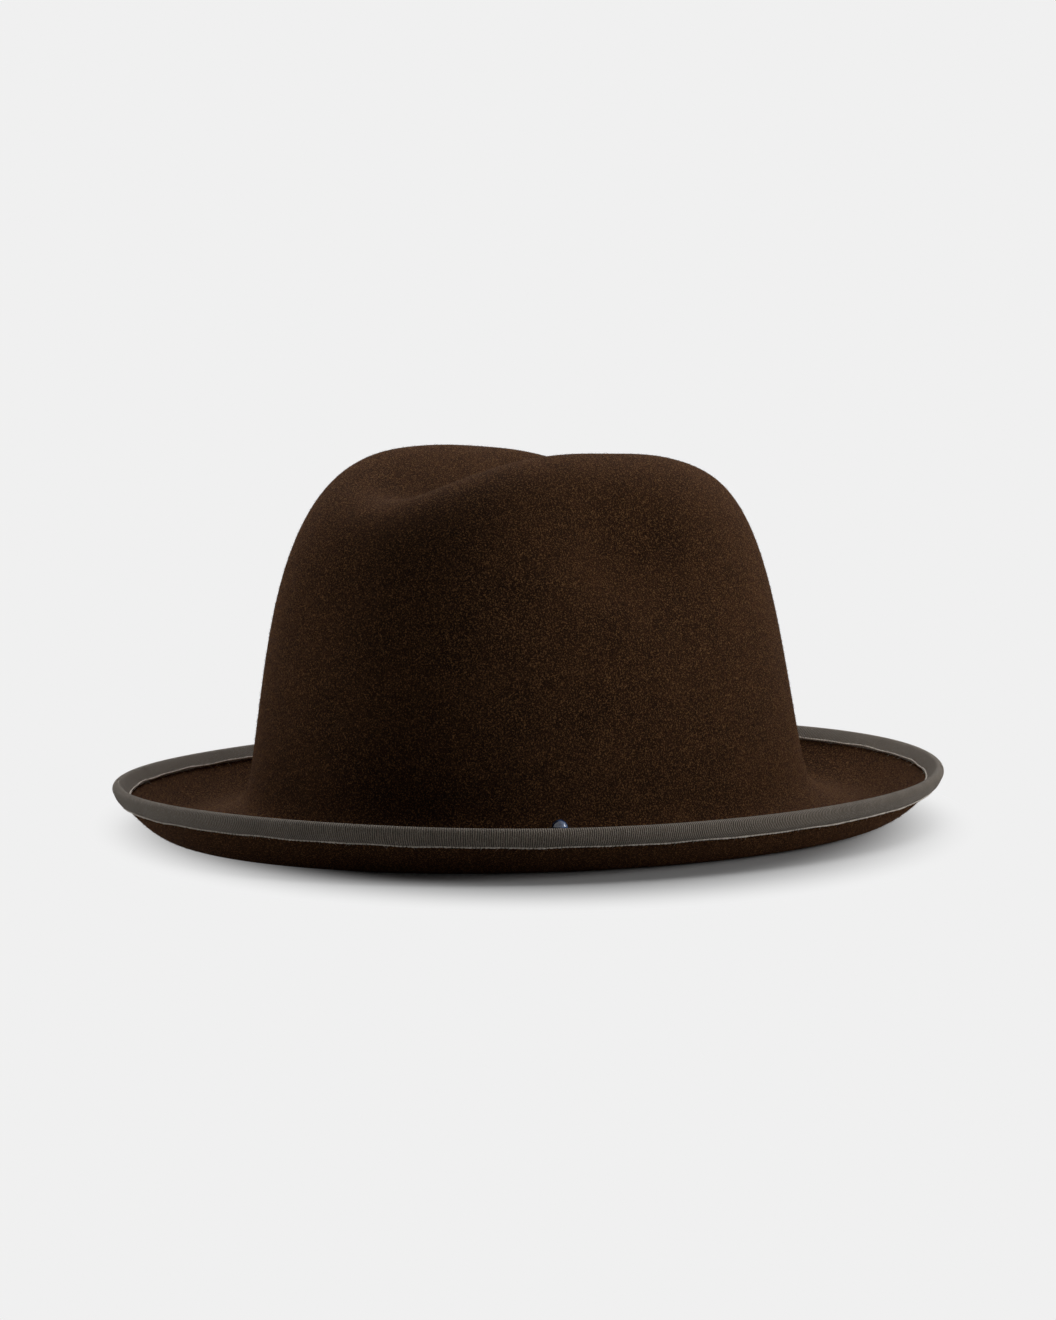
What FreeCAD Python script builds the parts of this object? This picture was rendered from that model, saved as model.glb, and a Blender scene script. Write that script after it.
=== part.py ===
"""Fedora hat: a blocked fur-felt crown and brim with a ribbon-bound edge, a leather
sweatband on a reed, a satin lining and one glass bead sewn at the foot of the crown.

Frame, in millimetres: the hat stands on the low ring of its brim at Z = 0, +Z is up,
the front of the hat is -Y and the wearer's left is +X. The origin is under the middle
of the brim. An angle of 0 degrees is the wearer's left and 90 degrees is the back.
"""
import FreeCAD
import Part
import math
import os
import Sketcher
from FreeCAD import Placement, Rotation, Vector

# name, value, what it is
SIZES = (
    ("crown_half_width", 87.0, "crown wall at the break, half of left to right"),
    ("crown_half_length", 108.0, "crown wall at the break, half of front to back"),
    ("crown_height", 123.5, "break up to the tip, before the creases"),
    ("crown_forward", 1.6, "the crown stands this far forward of the brim's centre"),
    ("break_height", 9.6, "height of the line where the crown meets the brim"),
    ("break_flare", 2.5, "soft bend between crown and brim"),
    ("side_roundness", 3.4, "shoulder of the crown at the sides, higher is squarer"),
    ("front_roundness", 4.3, "shoulder of the crown at the front"),
    ("back_roundness", 5.5, "shoulder of the crown at the back"),
    ("side_taper", 0.20, "share of the half width lost by the tip at the sides"),
    ("front_taper", 0.09, "share of the half length lost by the tip at the front"),
    ("back_taper", 0.24, "share of the half length lost by the tip at the back"),
    ("taper_power", 0.9, "how early the wall leans in"),
    ("tip_slope", 0.04, "fall of the tip towards the back, per millimetre"),
    ("tip_fall", 7.6, "fall of the tip at half a length from its high point"),
    ("tip_high_point", -23.0, "high point of the tip, from the crown's centre"),
    ("crease_depth", 28.0, "centre crease"),
    ("crease_half_width", 22.0, "centre crease, half width"),
    ("crease_centre", 4.5, "centre crease, its middle along the crown"),
    ("crease_half_length", 93.0, "centre crease, half length"),
    ("pinch_depth", 9.5, "pinch in each side of the crown"),
    ("pinch_centre", -22.0, "pinch, its middle along the crown"),
    ("pinch_height", 87.5, "pinch, its height above the break"),
    ("pinch_half_length", 28.0, "pinch, half length"),
    ("pinch_half_height", 20.0, "pinch, half height"),
    ("brim_side_width", 41.9, "brim felt in plan at the sides, from the crown wall"),
    ("brim_end_width", 45.2, "brim felt in plan at the front and the back"),
    ("brim_side_rise", 12.4, "upturn of the brim's edge at the sides"),
    ("brim_front_rise", 14.3, "upturn of the brim's edge at the front"),
    ("brim_back_rise", 14.7, "upturn of the brim's edge at the back"),
    ("curl_power", 1.55, "how late the brim turns up"),
    ("fall_share", 0.48, "share of the brim that falls away from the crown"),
    ("flat_share", 0.12, "share of the brim that is level"),
    ("felt_thickness", 2.5, "felt"),
    ("binding_leg", 4.6, "edge ribbon, its cover on each face of the brim"),
    ("binding_thickness", 0.5, "edge ribbon"),
    ("binding_gap", 0.1, "felt to edge ribbon"),
    ("binding_thread_size", 0.45, "seam thread of the edge ribbon"),
    ("binding_thread_inset", 0.5, "seam thread, from the ribbon's own edge"),
    ("thread_gap", 0.1, "each seam thread to what it lies on"),
    ("lining_gap", 0.35, "felt to lining"),
    ("lining_thickness", 0.25, "satin"),
    ("lining_start", 36.0, "lower edge of the lining, above the break"),
    ("lining_seam", 0.5, "seam between side and tip, share of the climb to the tip"),
    ("seam_half_gap", 0.0015, "half of the slit at that seam, share of the climb"),
    ("piping_size", 1.0, "piping cord over the lining's seam"),
    ("sweatband_gap", 0.25, "lining to sweatband"),
    ("sweatband_thickness", 1.1, "sweatband leather"),
    ("sweatband_start", 3.8, "lower edge of the leather, above the break"),
    ("sweatband_height", 46.0, "sweatband leather"),
    ("reed_radius", 0.8, "plastic reed in the sweatband's lower edge"),
    ("reed_tape_gap", 0.1, "reed to its tape"),
    ("reed_tape_thickness", 0.25, "tape sewn round the reed"),
    ("reed_height", 1.3, "middle of the reed, above the break"),
    ("band_thread_radius", 0.2, "seam thread of the sweatband"),
    ("band_thread_height", 1.6, "seam thread, above the leather's lower edge"),
    ("tab_width", 12.0, "leather cover of the sweatband's join"),
    ("tab_height", 40.0, "leather cover of the sweatband's join"),
    ("tab_thickness", 0.8, "leather cover of the sweatband's join"),
    ("tab_corner", 3.0, "corner radius of the cover"),
    ("tab_gap", 0.45, "sweatband to its join cover, at the middle"),
    ("bow_half_width", 11.0, "ribbon bow on the join cover"),
    ("bow_half_height", 4.5, "ribbon bow, at its outer ends"),
    ("bow_waist", 1.6, "ribbon bow, half height at its knot"),
    ("bow_thickness", 0.6, "ribbon bow"),
    ("bow_height", 8.0, "middle of the bow, above the leather's lower edge"),
    ("knot_thickness", 1.6, "knot of the bow"),
    ("knot_half_width", 1.8, "knot of the bow"),
    ("label_width", 18.0, "plain size label"),
    ("label_height", 10.0, "plain size label"),
    ("label_thickness", 0.3, "plain size label"),
    ("label_gap", 0.85, "sweatband to the label, at the label's middle"),
    ("label_angle", 62.0, "where the label sits round the band"),
    ("label_lift", 24.0, "middle of the label, above the leather's lower edge"),
    ("bead_radius", 2.6, "glass bead"),
    ("bead_bore_radius", 0.6, "hole of the bead"),
    ("bead_gap", 0.15, "felt to bead"),
    ("bead_lift", -6.0, "where the bead touches the felt: above the break, or below 0 on the brim"),
    ("bead_angle", -39.0, "where the bead sits round the crown"),
    ("bead_thread_radius", 0.25, "thread through the bead"),
    ("bead_thread_bend", 1.0, "bend of the thread beside the bead"),
)
RAIL_POINTS = 48
CREASE_POWER = 6
# rings of the skin: share of the way from the break to the edge, and to the tip
BRIM_RINGS = (0.05, 0.11, 0.18, 0.26, 0.34, 0.42)
CURL_RINGS = (0.66, 0.72, 0.79, 0.86, 0.93, 1.0)
CROWN_RINGS = (0.0, 0.016, 0.035, 0.06, 0.1, 0.15, 0.22, 0.29, 0.35, 0.4, 0.44,
               0.48, 0.52, 0.56, 0.6, 0.65, 0.71, 0.77, 0.83, 0.89, 0.95)
LOFT_DEGREE = 8
STEP = 0.0005

doc = FreeCAD.newDocument("Fedora")
sheet = doc.addObject("Spreadsheet::Sheet", "Sizes")
for row, (name, value, meaning) in enumerate(SIZES, start=1):
    sheet.set(f"A{row}", meaning)
    sheet.set(f"B{row}", str(value))
    sheet.setAlias(f"B{row}", name)
doc.recompute()


def size(name):
    """One driving dimension, read from the sheet."""
    return float(sheet.get(name))


# ---------------------------------------------------------------- shape of the hat


def round_the_hat(angle, side, front, back):
    """A value that differs between the sides, the front and the back."""
    lengthwise = (front + back) / 2 + (back - front) / 2 * math.sin(angle)
    return side * math.cos(angle) ** 2 + lengthwise * math.sin(angle) ** 2


def crown_point(angle, climb, flare):
    """Outer face of the crown; climb runs from 0 at the break to 1 at the tip."""
    roundness = round_the_hat(
        angle, size("side_roundness"), size("front_roundness"), size("back_roundness"))
    taper = round_the_hat(angle, size("side_taper"), size("front_taper"), size("back_taper"))
    turn = climb * math.pi / 2
    reach = (math.cos(turn) ** roundness + math.sin(turn) ** roundness) ** (1 / roundness)
    rise = math.sin(turn) / reach
    radius = math.cos(turn) / reach * (1 - taper * rise ** size("taper_power"))
    z = size("crown_height") * rise
    spread = flare * math.exp(-z / flare) if flare else 0.0
    x = (size("crown_half_width") * radius + spread) * math.cos(angle)
    y = (size("crown_half_length") * radius + spread) * math.sin(angle)
    on_top = rise ** CREASE_POWER
    from_high_point = (y - size("tip_high_point")) / size("crown_half_length")
    z -= on_top * (size("tip_slope") * y + size("tip_fall") * from_high_point ** 2)
    along = ((y - size("crease_centre")) / size("crease_half_length")) ** 4
    across = (x / size("crease_half_width")) ** 2
    z -= on_top * size("crease_depth") * math.exp(-along - across)
    pinch_along = ((y - size("pinch_centre")) / size("pinch_half_length")) ** 2
    pinch_up = ((z - size("pinch_height")) / size("pinch_half_height")) ** 2
    pinch = size("pinch_depth") * math.exp(-pinch_along - pinch_up)
    x -= pinch * math.tanh(x / 15)
    return Vector(x, y - size("crown_forward"), z + size("break_height"))


def brim_point(angle, share):
    """Upper face of the brim; share runs from 0 at the break to 1 at the edge."""
    flare = size("break_flare")
    start_x = size("crown_half_width") + flare
    start_y = size("crown_half_length") + flare
    end_x = size("crown_half_width") + size("brim_side_width")
    end_y = size("crown_half_length") + size("brim_end_width")
    x = (start_x + (end_x - start_x) * share) * math.cos(angle)
    y = (start_y + (end_y - start_y) * share) * math.sin(angle)
    y -= size("crown_forward") * (1 - share)
    edge_rise = round_the_hat(
        angle, size("brim_side_rise"), size("brim_front_rise"), size("brim_back_rise"))
    curl_start = size("fall_share") + size("flat_share")
    curl = max(0.0, (share - curl_start) / (1 - curl_start)) ** size("curl_power")
    fall = max(0.0, 1 - share / size("fall_share")) ** 1.6
    low = size("felt_thickness")
    return Vector(x, y, low + edge_rise * curl + (size("break_height") - low) * fall)


def skin_point(angle, travel):
    """Outer face of the felt: travel is -1 at the brim's edge and 1 at the tip."""
    if travel < 0:
        return brim_point(angle, -travel)
    return crown_point(angle, travel, size("break_flare"))


def wall_point(angle, travel):
    """Crown wall without the flare at its foot, which the inner pieces follow."""
    return crown_point(angle, max(travel, 0.0), 0.0)


def outward(surface, angle, travel):
    """Unit vector that points out of the felt's outer face."""
    low = max(travel - STEP, -1.0)
    high = min(travel + STEP, 1.0 - STEP)
    up = surface(angle, high) - surface(angle, low)
    round_it = surface(angle + STEP, travel) - surface(angle - STEP, travel)
    return round_it.cross(up).normalize()


def inside(surface, angle, travel, depth):
    """Point that lies depth below the outer face."""
    return surface(angle, travel) - outward(surface, angle, travel) * depth


def pole_point(surface, depth):
    """Middle of the tip, depth below the outer face."""
    return surface(0.0, 1.0) - Vector(0, 0, depth)


def travel_at(height):
    """Travel up the crown wall that reaches a height above the break."""
    return math.atan(height / size("crown_height")) * 2 / math.pi


# ---------------------------------------------------------------- faces and solids


def ring(point_at):
    """Smooth closed wire round the hat, through point_at(angle)."""
    angles = [2 * math.pi * i / RAIL_POINTS for i in range(RAIL_POINTS)]
    shares = [i / RAIL_POINTS for i in range(RAIL_POINTS + 1)]
    curve = Part.BSplineCurve()
    curve.interpolate(
        Points=[point_at(angle) for angle in angles], PeriodicFlag=True, Parameters=shares)
    return Part.Wire([curve.toShape()])


def level_ring(surface, travel, depth):
    """Ring at one travel and one depth below the outer face."""
    return ring(lambda angle: inside(surface, angle, travel, depth))


def loft_faces(sections):
    """Smooth open face through rings, and up to a point if one ends the list."""
    return Part.makeLoft(sections, False, False, False, LOFT_DEGREE).Faces


def strip_faces(first, second):
    """Narrow straight face between two rings."""
    return Part.makeRuledSurface(first, second).Faces


def solid_from(faces):
    """Sew faces that meet edge to edge into one solid."""
    shell = Part.makeShell(faces)
    shell.sewShape()
    solid = Part.makeSolid(shell)
    if solid.Volume < 0:
        solid.reverse()
    return solid


def sheet_solid(surface, travels, depth, thickness):
    """Band that follows the surface from depth to depth + thickness."""
    outer = [level_ring(surface, travel, depth) for travel in travels]
    inner = [level_ring(surface, travel, depth + thickness) for travel in travels]
    faces = loft_faces(outer) + loft_faces(inner)
    faces += strip_faces(outer[0], inner[0]) + strip_faces(outer[-1], inner[-1])
    return solid_from(faces)


def loop_solid(rings):
    """Ring-shaped solid whose section joins the rings by straight lines."""
    faces = []
    for first, second in zip(rings, rings[1:] + rings[:1]):
        faces += strip_faces(first, second)
    return solid_from(faces)


def square_loop(surface, travel, half_travel, depth, thickness):
    """Thin cord of square section that lies along the surface."""
    corners = ((travel - half_travel, depth), (travel + half_travel, depth),
               (travel + half_travel, depth + thickness), (travel - half_travel, depth + thickness))
    return loop_solid([level_ring(surface, *corner) for corner in corners])


def add_shape(name, shape):
    """Piece whose face follows the blocked felt, which no primitive can."""
    piece = doc.addObject("Part::Feature", name)
    piece.Label = name
    piece.Shape = shape
    return piece


# ---------------------------------------------------------------- felt and its edge


def make_felt_body():
    """Crown and brim, one felt; its underside is level where the hat rests."""
    felt = size("felt_thickness")
    flat_start = size("fall_share") + 2 * STEP
    flat_end = size("fall_share") + size("flat_share") - 2 * STEP
    falling = [*BRIM_RINGS, flat_start]
    rising = [flat_end, *CURL_RINGS]
    outer = [level_ring(skin_point, -share, 0.0) for share in reversed(falling + rising)]
    outer += [level_ring(skin_point, climb, 0.0) for climb in CROWN_RINGS]
    inner = [level_ring(skin_point, -share, felt) for share in reversed(falling)]
    inner += [level_ring(skin_point, climb, felt) for climb in CROWN_RINGS]
    curl = [level_ring(skin_point, -share, felt) for share in rising]
    faces = loft_faces(outer + [Part.Vertex(pole_point(skin_point, 0.0))])
    faces += loft_faces(inner + [Part.Vertex(pole_point(skin_point, felt))])
    faces += loft_faces(curl)
    faces += [Part.makeFace([curl[0], inner[0]], "Part::FaceMakerBullseye")]
    faces += strip_faces(outer[0], curl[-1])
    add_shape("felt_body", solid_from(faces))


def edge_frame(angle):
    """Middle of the felt's edge, with its forward and its upward direction."""
    up = outward(skin_point, angle, -1.0)
    middle = inside(skin_point, angle, -1.0, size("felt_thickness") / 2)
    along = skin_point(angle + STEP, -1.0) - skin_point(angle - STEP, -1.0)
    forward = up.cross(along).normalize()
    if forward.dot(Vector(middle.x, middle.y, 0)) < 0:
        forward = -forward
    return middle, forward, up


def leg_travel(angle, distance):
    """Travel on the brim that lies a distance in from its edge."""
    per_share = (skin_point(angle, -1.0) - skin_point(angle, -0.9)).Length / 0.1
    return -1.0 + distance / per_share


def leg_point(angle, distance, depth):
    """Point over the brim's end, a distance from the edge and depth below its upper face."""
    return inside(skin_point, angle, leg_travel(angle, distance), depth)


def turn_point(angle, radius, swing):
    """Point on the half circle round the felt's edge; swing 90 is up, -90 is down."""
    middle, forward, up = edge_frame(angle)
    turn = math.radians(swing)
    return middle + forward * (radius * math.cos(turn)) + up * (radius * math.sin(turn))


def binding_rings(clearance):
    """Rings of one face of the folded ribbon, from its upper leg round to its lower leg."""
    felt = size("felt_thickness")
    radius = felt / 2 + clearance
    leg = size("binding_leg")
    rings = []
    for distance in (leg, leg * 2 / 3, leg / 3):
        rings.append(ring(lambda angle: leg_point(angle, distance, -clearance)))
    for swing in (90, 54, 18, -18, -54, -90):
        rings.append(ring(lambda angle: turn_point(angle, radius, swing)))
    for distance in (leg / 3, leg * 2 / 3, leg):
        rings.append(ring(lambda angle: leg_point(angle, distance, felt + clearance)))
    return rings


def make_brim_binding():
    """Ribbon folded over the brim's edge."""
    inner = binding_rings(size("binding_gap"))
    outer = binding_rings(size("binding_gap") + size("binding_thickness"))
    add_shape("brim_binding", loop_solid(outer + inner[::-1]))


def make_binding_thread(name, inward_side):
    """Seam thread along one leg of the ribbon."""
    cover = size("binding_gap") + size("binding_thickness") + size("thread_gap")
    thread = size("binding_thread_size")
    near = size("binding_leg") - size("binding_thread_inset")
    far = near - thread
    if inward_side:
        low = size("felt_thickness") + cover
        high = low + thread
    else:
        low = -cover
        high = low - thread
    corners = ((near, low), (far, low), (far, high), (near, high))
    rings = [ring(lambda angle: leg_point(angle, *corner)) for corner in corners]
    add_shape(name, loop_solid(rings))


# ---------------------------------------------------------------- lining and sweatband


def make_lining():
    """Satin side strip, satin tip and the piping that covers their seam."""
    depth = size("felt_thickness") + size("lining_gap")
    satin = size("lining_thickness")
    seam = size("lining_seam")
    slit = size("seam_half_gap")
    start = travel_at(size("lining_start"))
    climbs = [climb for climb in CROWN_RINGS if start + 0.02 < climb < seam - 2 * slit]
    side = sheet_solid(wall_point, [start, *climbs, seam - slit], depth, satin)
    add_shape("lining_side", side)

    climbs = [seam + slit] + [climb for climb in CROWN_RINGS if climb > seam + 2 * slit]
    outer = [level_ring(wall_point, climb, depth) for climb in climbs]
    inner = [level_ring(wall_point, climb, depth + satin) for climb in climbs]
    faces = loft_faces(outer + [Part.Vertex(pole_point(wall_point, depth))])
    faces += loft_faces(inner + [Part.Vertex(pole_point(wall_point, depth + satin))])
    faces += strip_faces(outer[0], inner[0])
    add_shape("lining_tip", solid_from(faces))

    cord = size("piping_size")
    cover = depth + satin + size("lining_gap") / 2
    length = (wall_point(0.0, seam + slit) - wall_point(0.0, seam - slit)).Length
    half = slit * cord / length
    add_shape("lining_piping", square_loop(wall_point, seam, half, cover, cord))


def leather_depth():
    """Outer face of the sweatband, below the felt's outer face."""
    return (size("felt_thickness") + size("lining_gap") + size("lining_thickness")
            + size("sweatband_gap"))


def make_sweatband():
    """Leather band that stands inside the crown."""
    start = size("sweatband_start")
    steps = 6
    heights = [start + size("sweatband_height") * i / steps for i in range(steps + 1)]
    travels = [travel_at(height) for height in heights]
    band = sheet_solid(wall_point, travels, leather_depth(), size("sweatband_thickness"))
    add_shape("sweatband", band)


def plane_of(body, role):
    return next(plane for plane in body.Origin.OriginFeatures if plane.Role == role)


def new_body(name):
    body = doc.addObject("PartDesign::Body", name)
    body.Label = name
    return body


def new_sketch(body, name, role):
    sketch = body.newObject("Sketcher::SketchObject", name)
    sketch.AttachmentSupport = [(plane_of(body, role), "")]
    sketch.MapMode = "FlatFace"
    return sketch


def bind(sketch, constraint, expression):
    """Add a constraint and tie its value to the sheet."""
    index = sketch.addConstraint(constraint)
    sketch.setExpression(f"Constraints[{index}]", expression)


def bound_circle(sketch, x, y, radius):
    """Circle whose centre and radius follow the expressions given."""
    start = Vector(80, 9, 0)
    circle = sketch.addGeometry(Part.Circle(start, Vector(0, 0, 1), 0.5))
    bind(sketch, Sketcher.Constraint("Radius", circle, 0.5), radius)
    bind(sketch, Sketcher.Constraint("DistanceX", -1, 1, circle, 3, start.x), x)
    bind(sketch, Sketcher.Constraint("DistanceY", -1, 1, circle, 3, start.y), y)
    return circle


def bound_oval(sketch, half_width, half_length):
    """Ellipse about the sketch's origin with its long axis along Y."""
    oval = sketch.addGeometry(Part.Ellipse(Vector(0, 100, 0), Vector(80, 0, 0), Vector(0, 0, 0)))
    sketch.exposeInternalGeometry(oval)
    sketch.addConstraint(Sketcher.Constraint("Coincident", oval, 3, -1, 1))
    sketch.addConstraint(Sketcher.Constraint("PointOnObject", oval + 1, 1, -2))
    bind(sketch, Sketcher.Constraint("Distance", oval + 1, 200.0), f"2 * ({half_length})")
    bind(sketch, Sketcher.Constraint("Distance", oval + 2, 160.0), f"2 * ({half_width})")


def sweep_circle(body, kind, name, path, centre, radius):
    """Carry a circle round the path, to add a rod or to bore one."""
    section = new_sketch(body, f"{name}_section", "XZ_Plane")
    bound_circle(section, *centre, radius)
    doc.recompute()
    sweep = body.newObject(kind, name)
    sweep.Profile = section
    sweep.Spine = (path, ["Edge1"])
    sweep.Mode = "Frenet"
    doc.recompute()


def make_oval_rod(name, side_reach, end_reach, height, radius, bore=None):
    """Rod, or tube where a bore is given, that runs round an oval."""
    body = new_body(name)
    path = new_sketch(body, f"{name}_path", "XY_Plane")
    bound_oval(path, side_reach, end_reach)
    path.setExpression("AttachmentOffset.Base.z", height)
    centre = (side_reach, height)
    sweep_circle(body, "PartDesign::AdditivePipe", f"{name}_rod", path, centre, radius)
    if bore:
        sweep_circle(body, "PartDesign::SubtractivePipe", f"{name}_bore", path, centre, bore)
    body.setExpression("Placement.Base.y", "-Sizes.crown_forward")


def make_reed():
    """Reed, its tape and the seam thread above them, all round the foot of the leather."""
    inset = ("(Sizes.felt_thickness + Sizes.lining_gap + Sizes.lining_thickness"
             " + Sizes.sweatband_gap)")
    tape = "Sizes.reed_radius + Sizes.reed_tape_gap + Sizes.reed_tape_thickness"
    side = f"Sizes.crown_half_width - {inset} - ({tape})"
    end = f"Sizes.crown_half_length - {inset} - ({tape})"
    height = "Sizes.break_height + Sizes.reed_height"
    bore = "Sizes.reed_radius + Sizes.reed_tape_gap"
    make_oval_rod("sweatband_reed", side, end, height, "Sizes.reed_radius")
    make_oval_rod("reed_tape", side, end, height, tape, bore)


def make_sweatband_thread():
    """Seam thread on the leather's inner face."""
    height = size("sweatband_start") + size("band_thread_height")
    depth = leather_depth() + size("sweatband_thickness") + size("thread_gap")
    thread = 2 * size("band_thread_radius")
    half = travel_at(height + thread / 2) - travel_at(height)
    cord = square_loop(wall_point, travel_at(height), half, depth, thread)
    add_shape("sweatband_thread", cord)


def wall_placement(angle_degrees, height, depth, facing_in):
    """Frame on the crown wall: X runs round it, Y climbs it and Z leaves it."""
    angle = math.radians(angle_degrees)
    travel = travel_at(height)
    surface = wall_point if facing_in else skin_point
    normal = outward(surface, angle, travel)
    origin = surface(angle, travel) - normal * depth
    side = Vector(0, 0, 1).cross(normal).normalize()
    if facing_in:
        normal = -normal
        side = -side
    climb = normal.cross(side)
    return Placement(origin, Rotation(side, climb, normal, "ZXY"))


def on_leather(angle_degrees, lift, gap):
    """Frame on the sweatband's inner face, lift above its lower edge."""
    depth = leather_depth() + size("sweatband_thickness") + gap
    return wall_placement(angle_degrees, size("sweatband_start") + lift, depth, True)


def rectangle_sketch(body, name, half_width, half_height):
    """Rectangle about the origin; both sizes are expressions."""
    sketch = new_sketch(body, name, "XY_Plane")
    corners = [Vector(-4, -3, 0), Vector(4, -3, 0), Vector(4, 3, 0), Vector(-4, 3, 0)]
    for start, end in zip(corners, corners[1:] + corners[:1]):
        sketch.addGeometry(Part.LineSegment(start, end))
    for line in range(4):
        following = (line + 1) % 4
        sketch.addConstraint(Sketcher.Constraint("Coincident", line, 2, following, 1))
        kind = "Vertical" if line % 2 else "Horizontal"
        sketch.addConstraint(Sketcher.Constraint(kind, line))
    bind(sketch, Sketcher.Constraint("DistanceX", -1, 1, 1, 1, 4.0), half_width)
    bind(sketch, Sketcher.Constraint("DistanceY", -1, 1, 2, 1, 3.0), half_height)
    bind(sketch, Sketcher.Constraint("DistanceX", 3, 1, -1, 1, 4.0), half_width)
    bind(sketch, Sketcher.Constraint("DistanceY", 0, 1, -1, 1, 3.0), half_height)
    return sketch


def pad(body, sketch, name, length):
    feature = body.newObject("PartDesign::Pad", name)
    feature.Profile = sketch
    feature.setExpression("Length", length)
    doc.recompute()
    return feature


def upright_edges(shape):
    """Names of the edges that run along the pad's direction."""
    names = []
    for index, edge in enumerate(shape.Edges, start=1):
        direction = edge.Vertexes[-1].Point - edge.Vertexes[0].Point
        if abs(direction.z) > 0.9 * direction.Length:
            names.append(f"Edge{index}")
    return names


def make_sweatband_tab():
    """Leather cover over the join at the back of the sweatband."""
    body = new_body("sweatband_tab")
    outline = rectangle_sketch(body, "tab_outline", "Sizes.tab_width / 2", "Sizes.tab_height / 2")
    plate = pad(body, outline, "tab_plate", "Sizes.tab_thickness")
    corners = body.newObject("PartDesign::Fillet", "tab_corners")
    corners.Base = (plate, upright_edges(plate.Shape))
    corners.setExpression("Radius", "Sizes.tab_corner")
    body.Placement = on_leather(90.0, size("sweatband_height") / 2, size("tab_gap"))


def make_size_label():
    """Plain label, left blank."""
    body = new_body("size_label")
    outline = rectangle_sketch(
        body, "label_outline", "Sizes.label_width / 2", "Sizes.label_height / 2")
    pad(body, outline, "label_plate", "Sizes.label_thickness")
    body.Placement = on_leather(size("label_angle"), size("label_lift"), size("label_gap"))


def make_sweatband_bow():
    """Small ribbon bow on the join cover: two flat wings and a knot."""
    body = new_body("sweatband_bow")
    sketch = new_sketch(body, "bow_outline", "XY_Plane")
    starts = ((-9, -4), (0, -1), (9, -4), (9, 4), (0, 1), (-9, 4))
    corners = [Vector(x, y, 0) for x, y in starts]
    for start, end in zip(corners, corners[1:] + corners[:1]):
        sketch.addGeometry(Part.LineSegment(start, end))
    for line in range(6):
        following = (line + 1) % 6
        sketch.addConstraint(Sketcher.Constraint("Coincident", line, 2, following, 1))
    reach = ("-Sizes.bow_half_width", "0", "Sizes.bow_half_width")
    ends = ("Sizes.bow_half_height", "Sizes.bow_waist", "Sizes.bow_half_height")
    for line, (x, y) in enumerate(starts):
        column = (x > 0) + (x >= 0)
        sign = "-" if y < 0 else ""
        bind(sketch, Sketcher.Constraint("DistanceY", -1, 1, line, 1, float(y)),
             f"{sign}{ends[column]}")
        if x:
            bind(sketch, Sketcher.Constraint("DistanceX", -1, 1, line, 1, float(x)), reach[column])
        else:
            sketch.addConstraint(Sketcher.Constraint("PointOnObject", line, 1, -2))
    pad(body, sketch, "bow_wings", "Sizes.bow_thickness")
    knot = rectangle_sketch(
        body, "knot_outline", "Sizes.knot_half_width", "Sizes.bow_waist + Sizes.bow_thickness")
    pad(body, knot, "bow_knot", "Sizes.knot_thickness")
    over_tab = 2 * size("tab_gap") + size("tab_thickness")
    body.Placement = on_leather(90.0, size("bow_height"), over_tab)


# ---------------------------------------------------------------- bead


def bead_placement():
    """Frame at the bead's middle: X runs round the crown and Z leaves it."""
    away = size("bead_radius") + size("bead_gap")
    return wall_placement(size("bead_angle"), size("bead_lift"), -away, False)


def make_bead():
    """Glass bead with its hole running round the crown."""
    ball = doc.addObject("Part::Sphere", "bead_ball")
    ball.setExpression("Radius", "Sizes.bead_radius")
    bore = doc.addObject("Part::Cylinder", "bead_bore")
    bore.setExpression("Radius", "Sizes.bead_bore_radius")
    bore.setExpression("Height", "4 * Sizes.bead_radius")
    bore.Placement.Rotation = Rotation(Vector(0, 1, 0), 90)
    bore.setExpression("Placement.Base.x", "-2 * Sizes.bead_radius")
    bead = doc.addObject("Part::Cut", "crown_bead")
    bead.Label = "crown_bead"
    bead.Base = ball
    bead.Tool = bore
    bead.Placement = bead_placement()


def make_bead_thread():
    """Thread that leaves the felt, runs through the bead and enters the felt again."""
    body = new_body("bead_thread")
    reach = size("bead_radius") + size("bead_thread_bend") / 2
    bend = size("bead_thread_bend")
    foot = -size("bead_radius")
    turn = bend * math.sin(math.radians(45))
    left = (Vector(-reach - bend, 0, foot), Vector(-reach - bend, 0, -bend))
    right = (Vector(reach + bend, 0, -bend), Vector(reach + bend, 0, foot))
    path = Part.Wire([
        Part.LineSegment(*left).toShape(),
        Part.Arc(left[1], Vector(-reach - turn, 0, turn - bend), Vector(-reach, 0, 0)).toShape(),
        Part.LineSegment(Vector(-reach, 0, 0), Vector(reach, 0, 0)).toShape(),
        Part.Arc(Vector(reach, 0, 0), Vector(reach + turn, 0, turn - bend), right[0]).toShape(),
        Part.LineSegment(*right).toShape(),
    ])
    section = Part.Wire([Part.Circle(left[0], Vector(0, 0, 1), size("bead_thread_radius")).toShape()])
    strand = doc.addObject("PartDesign::Feature", "bead_thread_strand")
    strand.Shape = path.makePipeShell([section], True, False)
    body.addObject(strand)
    body.Tip = strand
    body.Placement = bead_placement()


# ---------------------------------------------------------------- build and export


def build():
    make_felt_body()
    make_brim_binding()
    make_binding_thread("binding_thread_upper", False)
    make_binding_thread("binding_thread_under", True)
    make_lining()
    make_sweatband()
    make_reed()
    make_sweatband_thread()
    make_sweatband_tab()
    make_sweatband_bow()
    make_size_label()
    make_bead()
    make_bead_thread()
    doc.recompute()


def pieces():
    """The finished sub-parts: bodies, the bead and the shapes that follow the felt."""
    kinds = ("PartDesign::Body", "Part::Cut", "Part::Feature")
    return [item for item in doc.Objects if item.TypeId in kinds]


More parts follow.
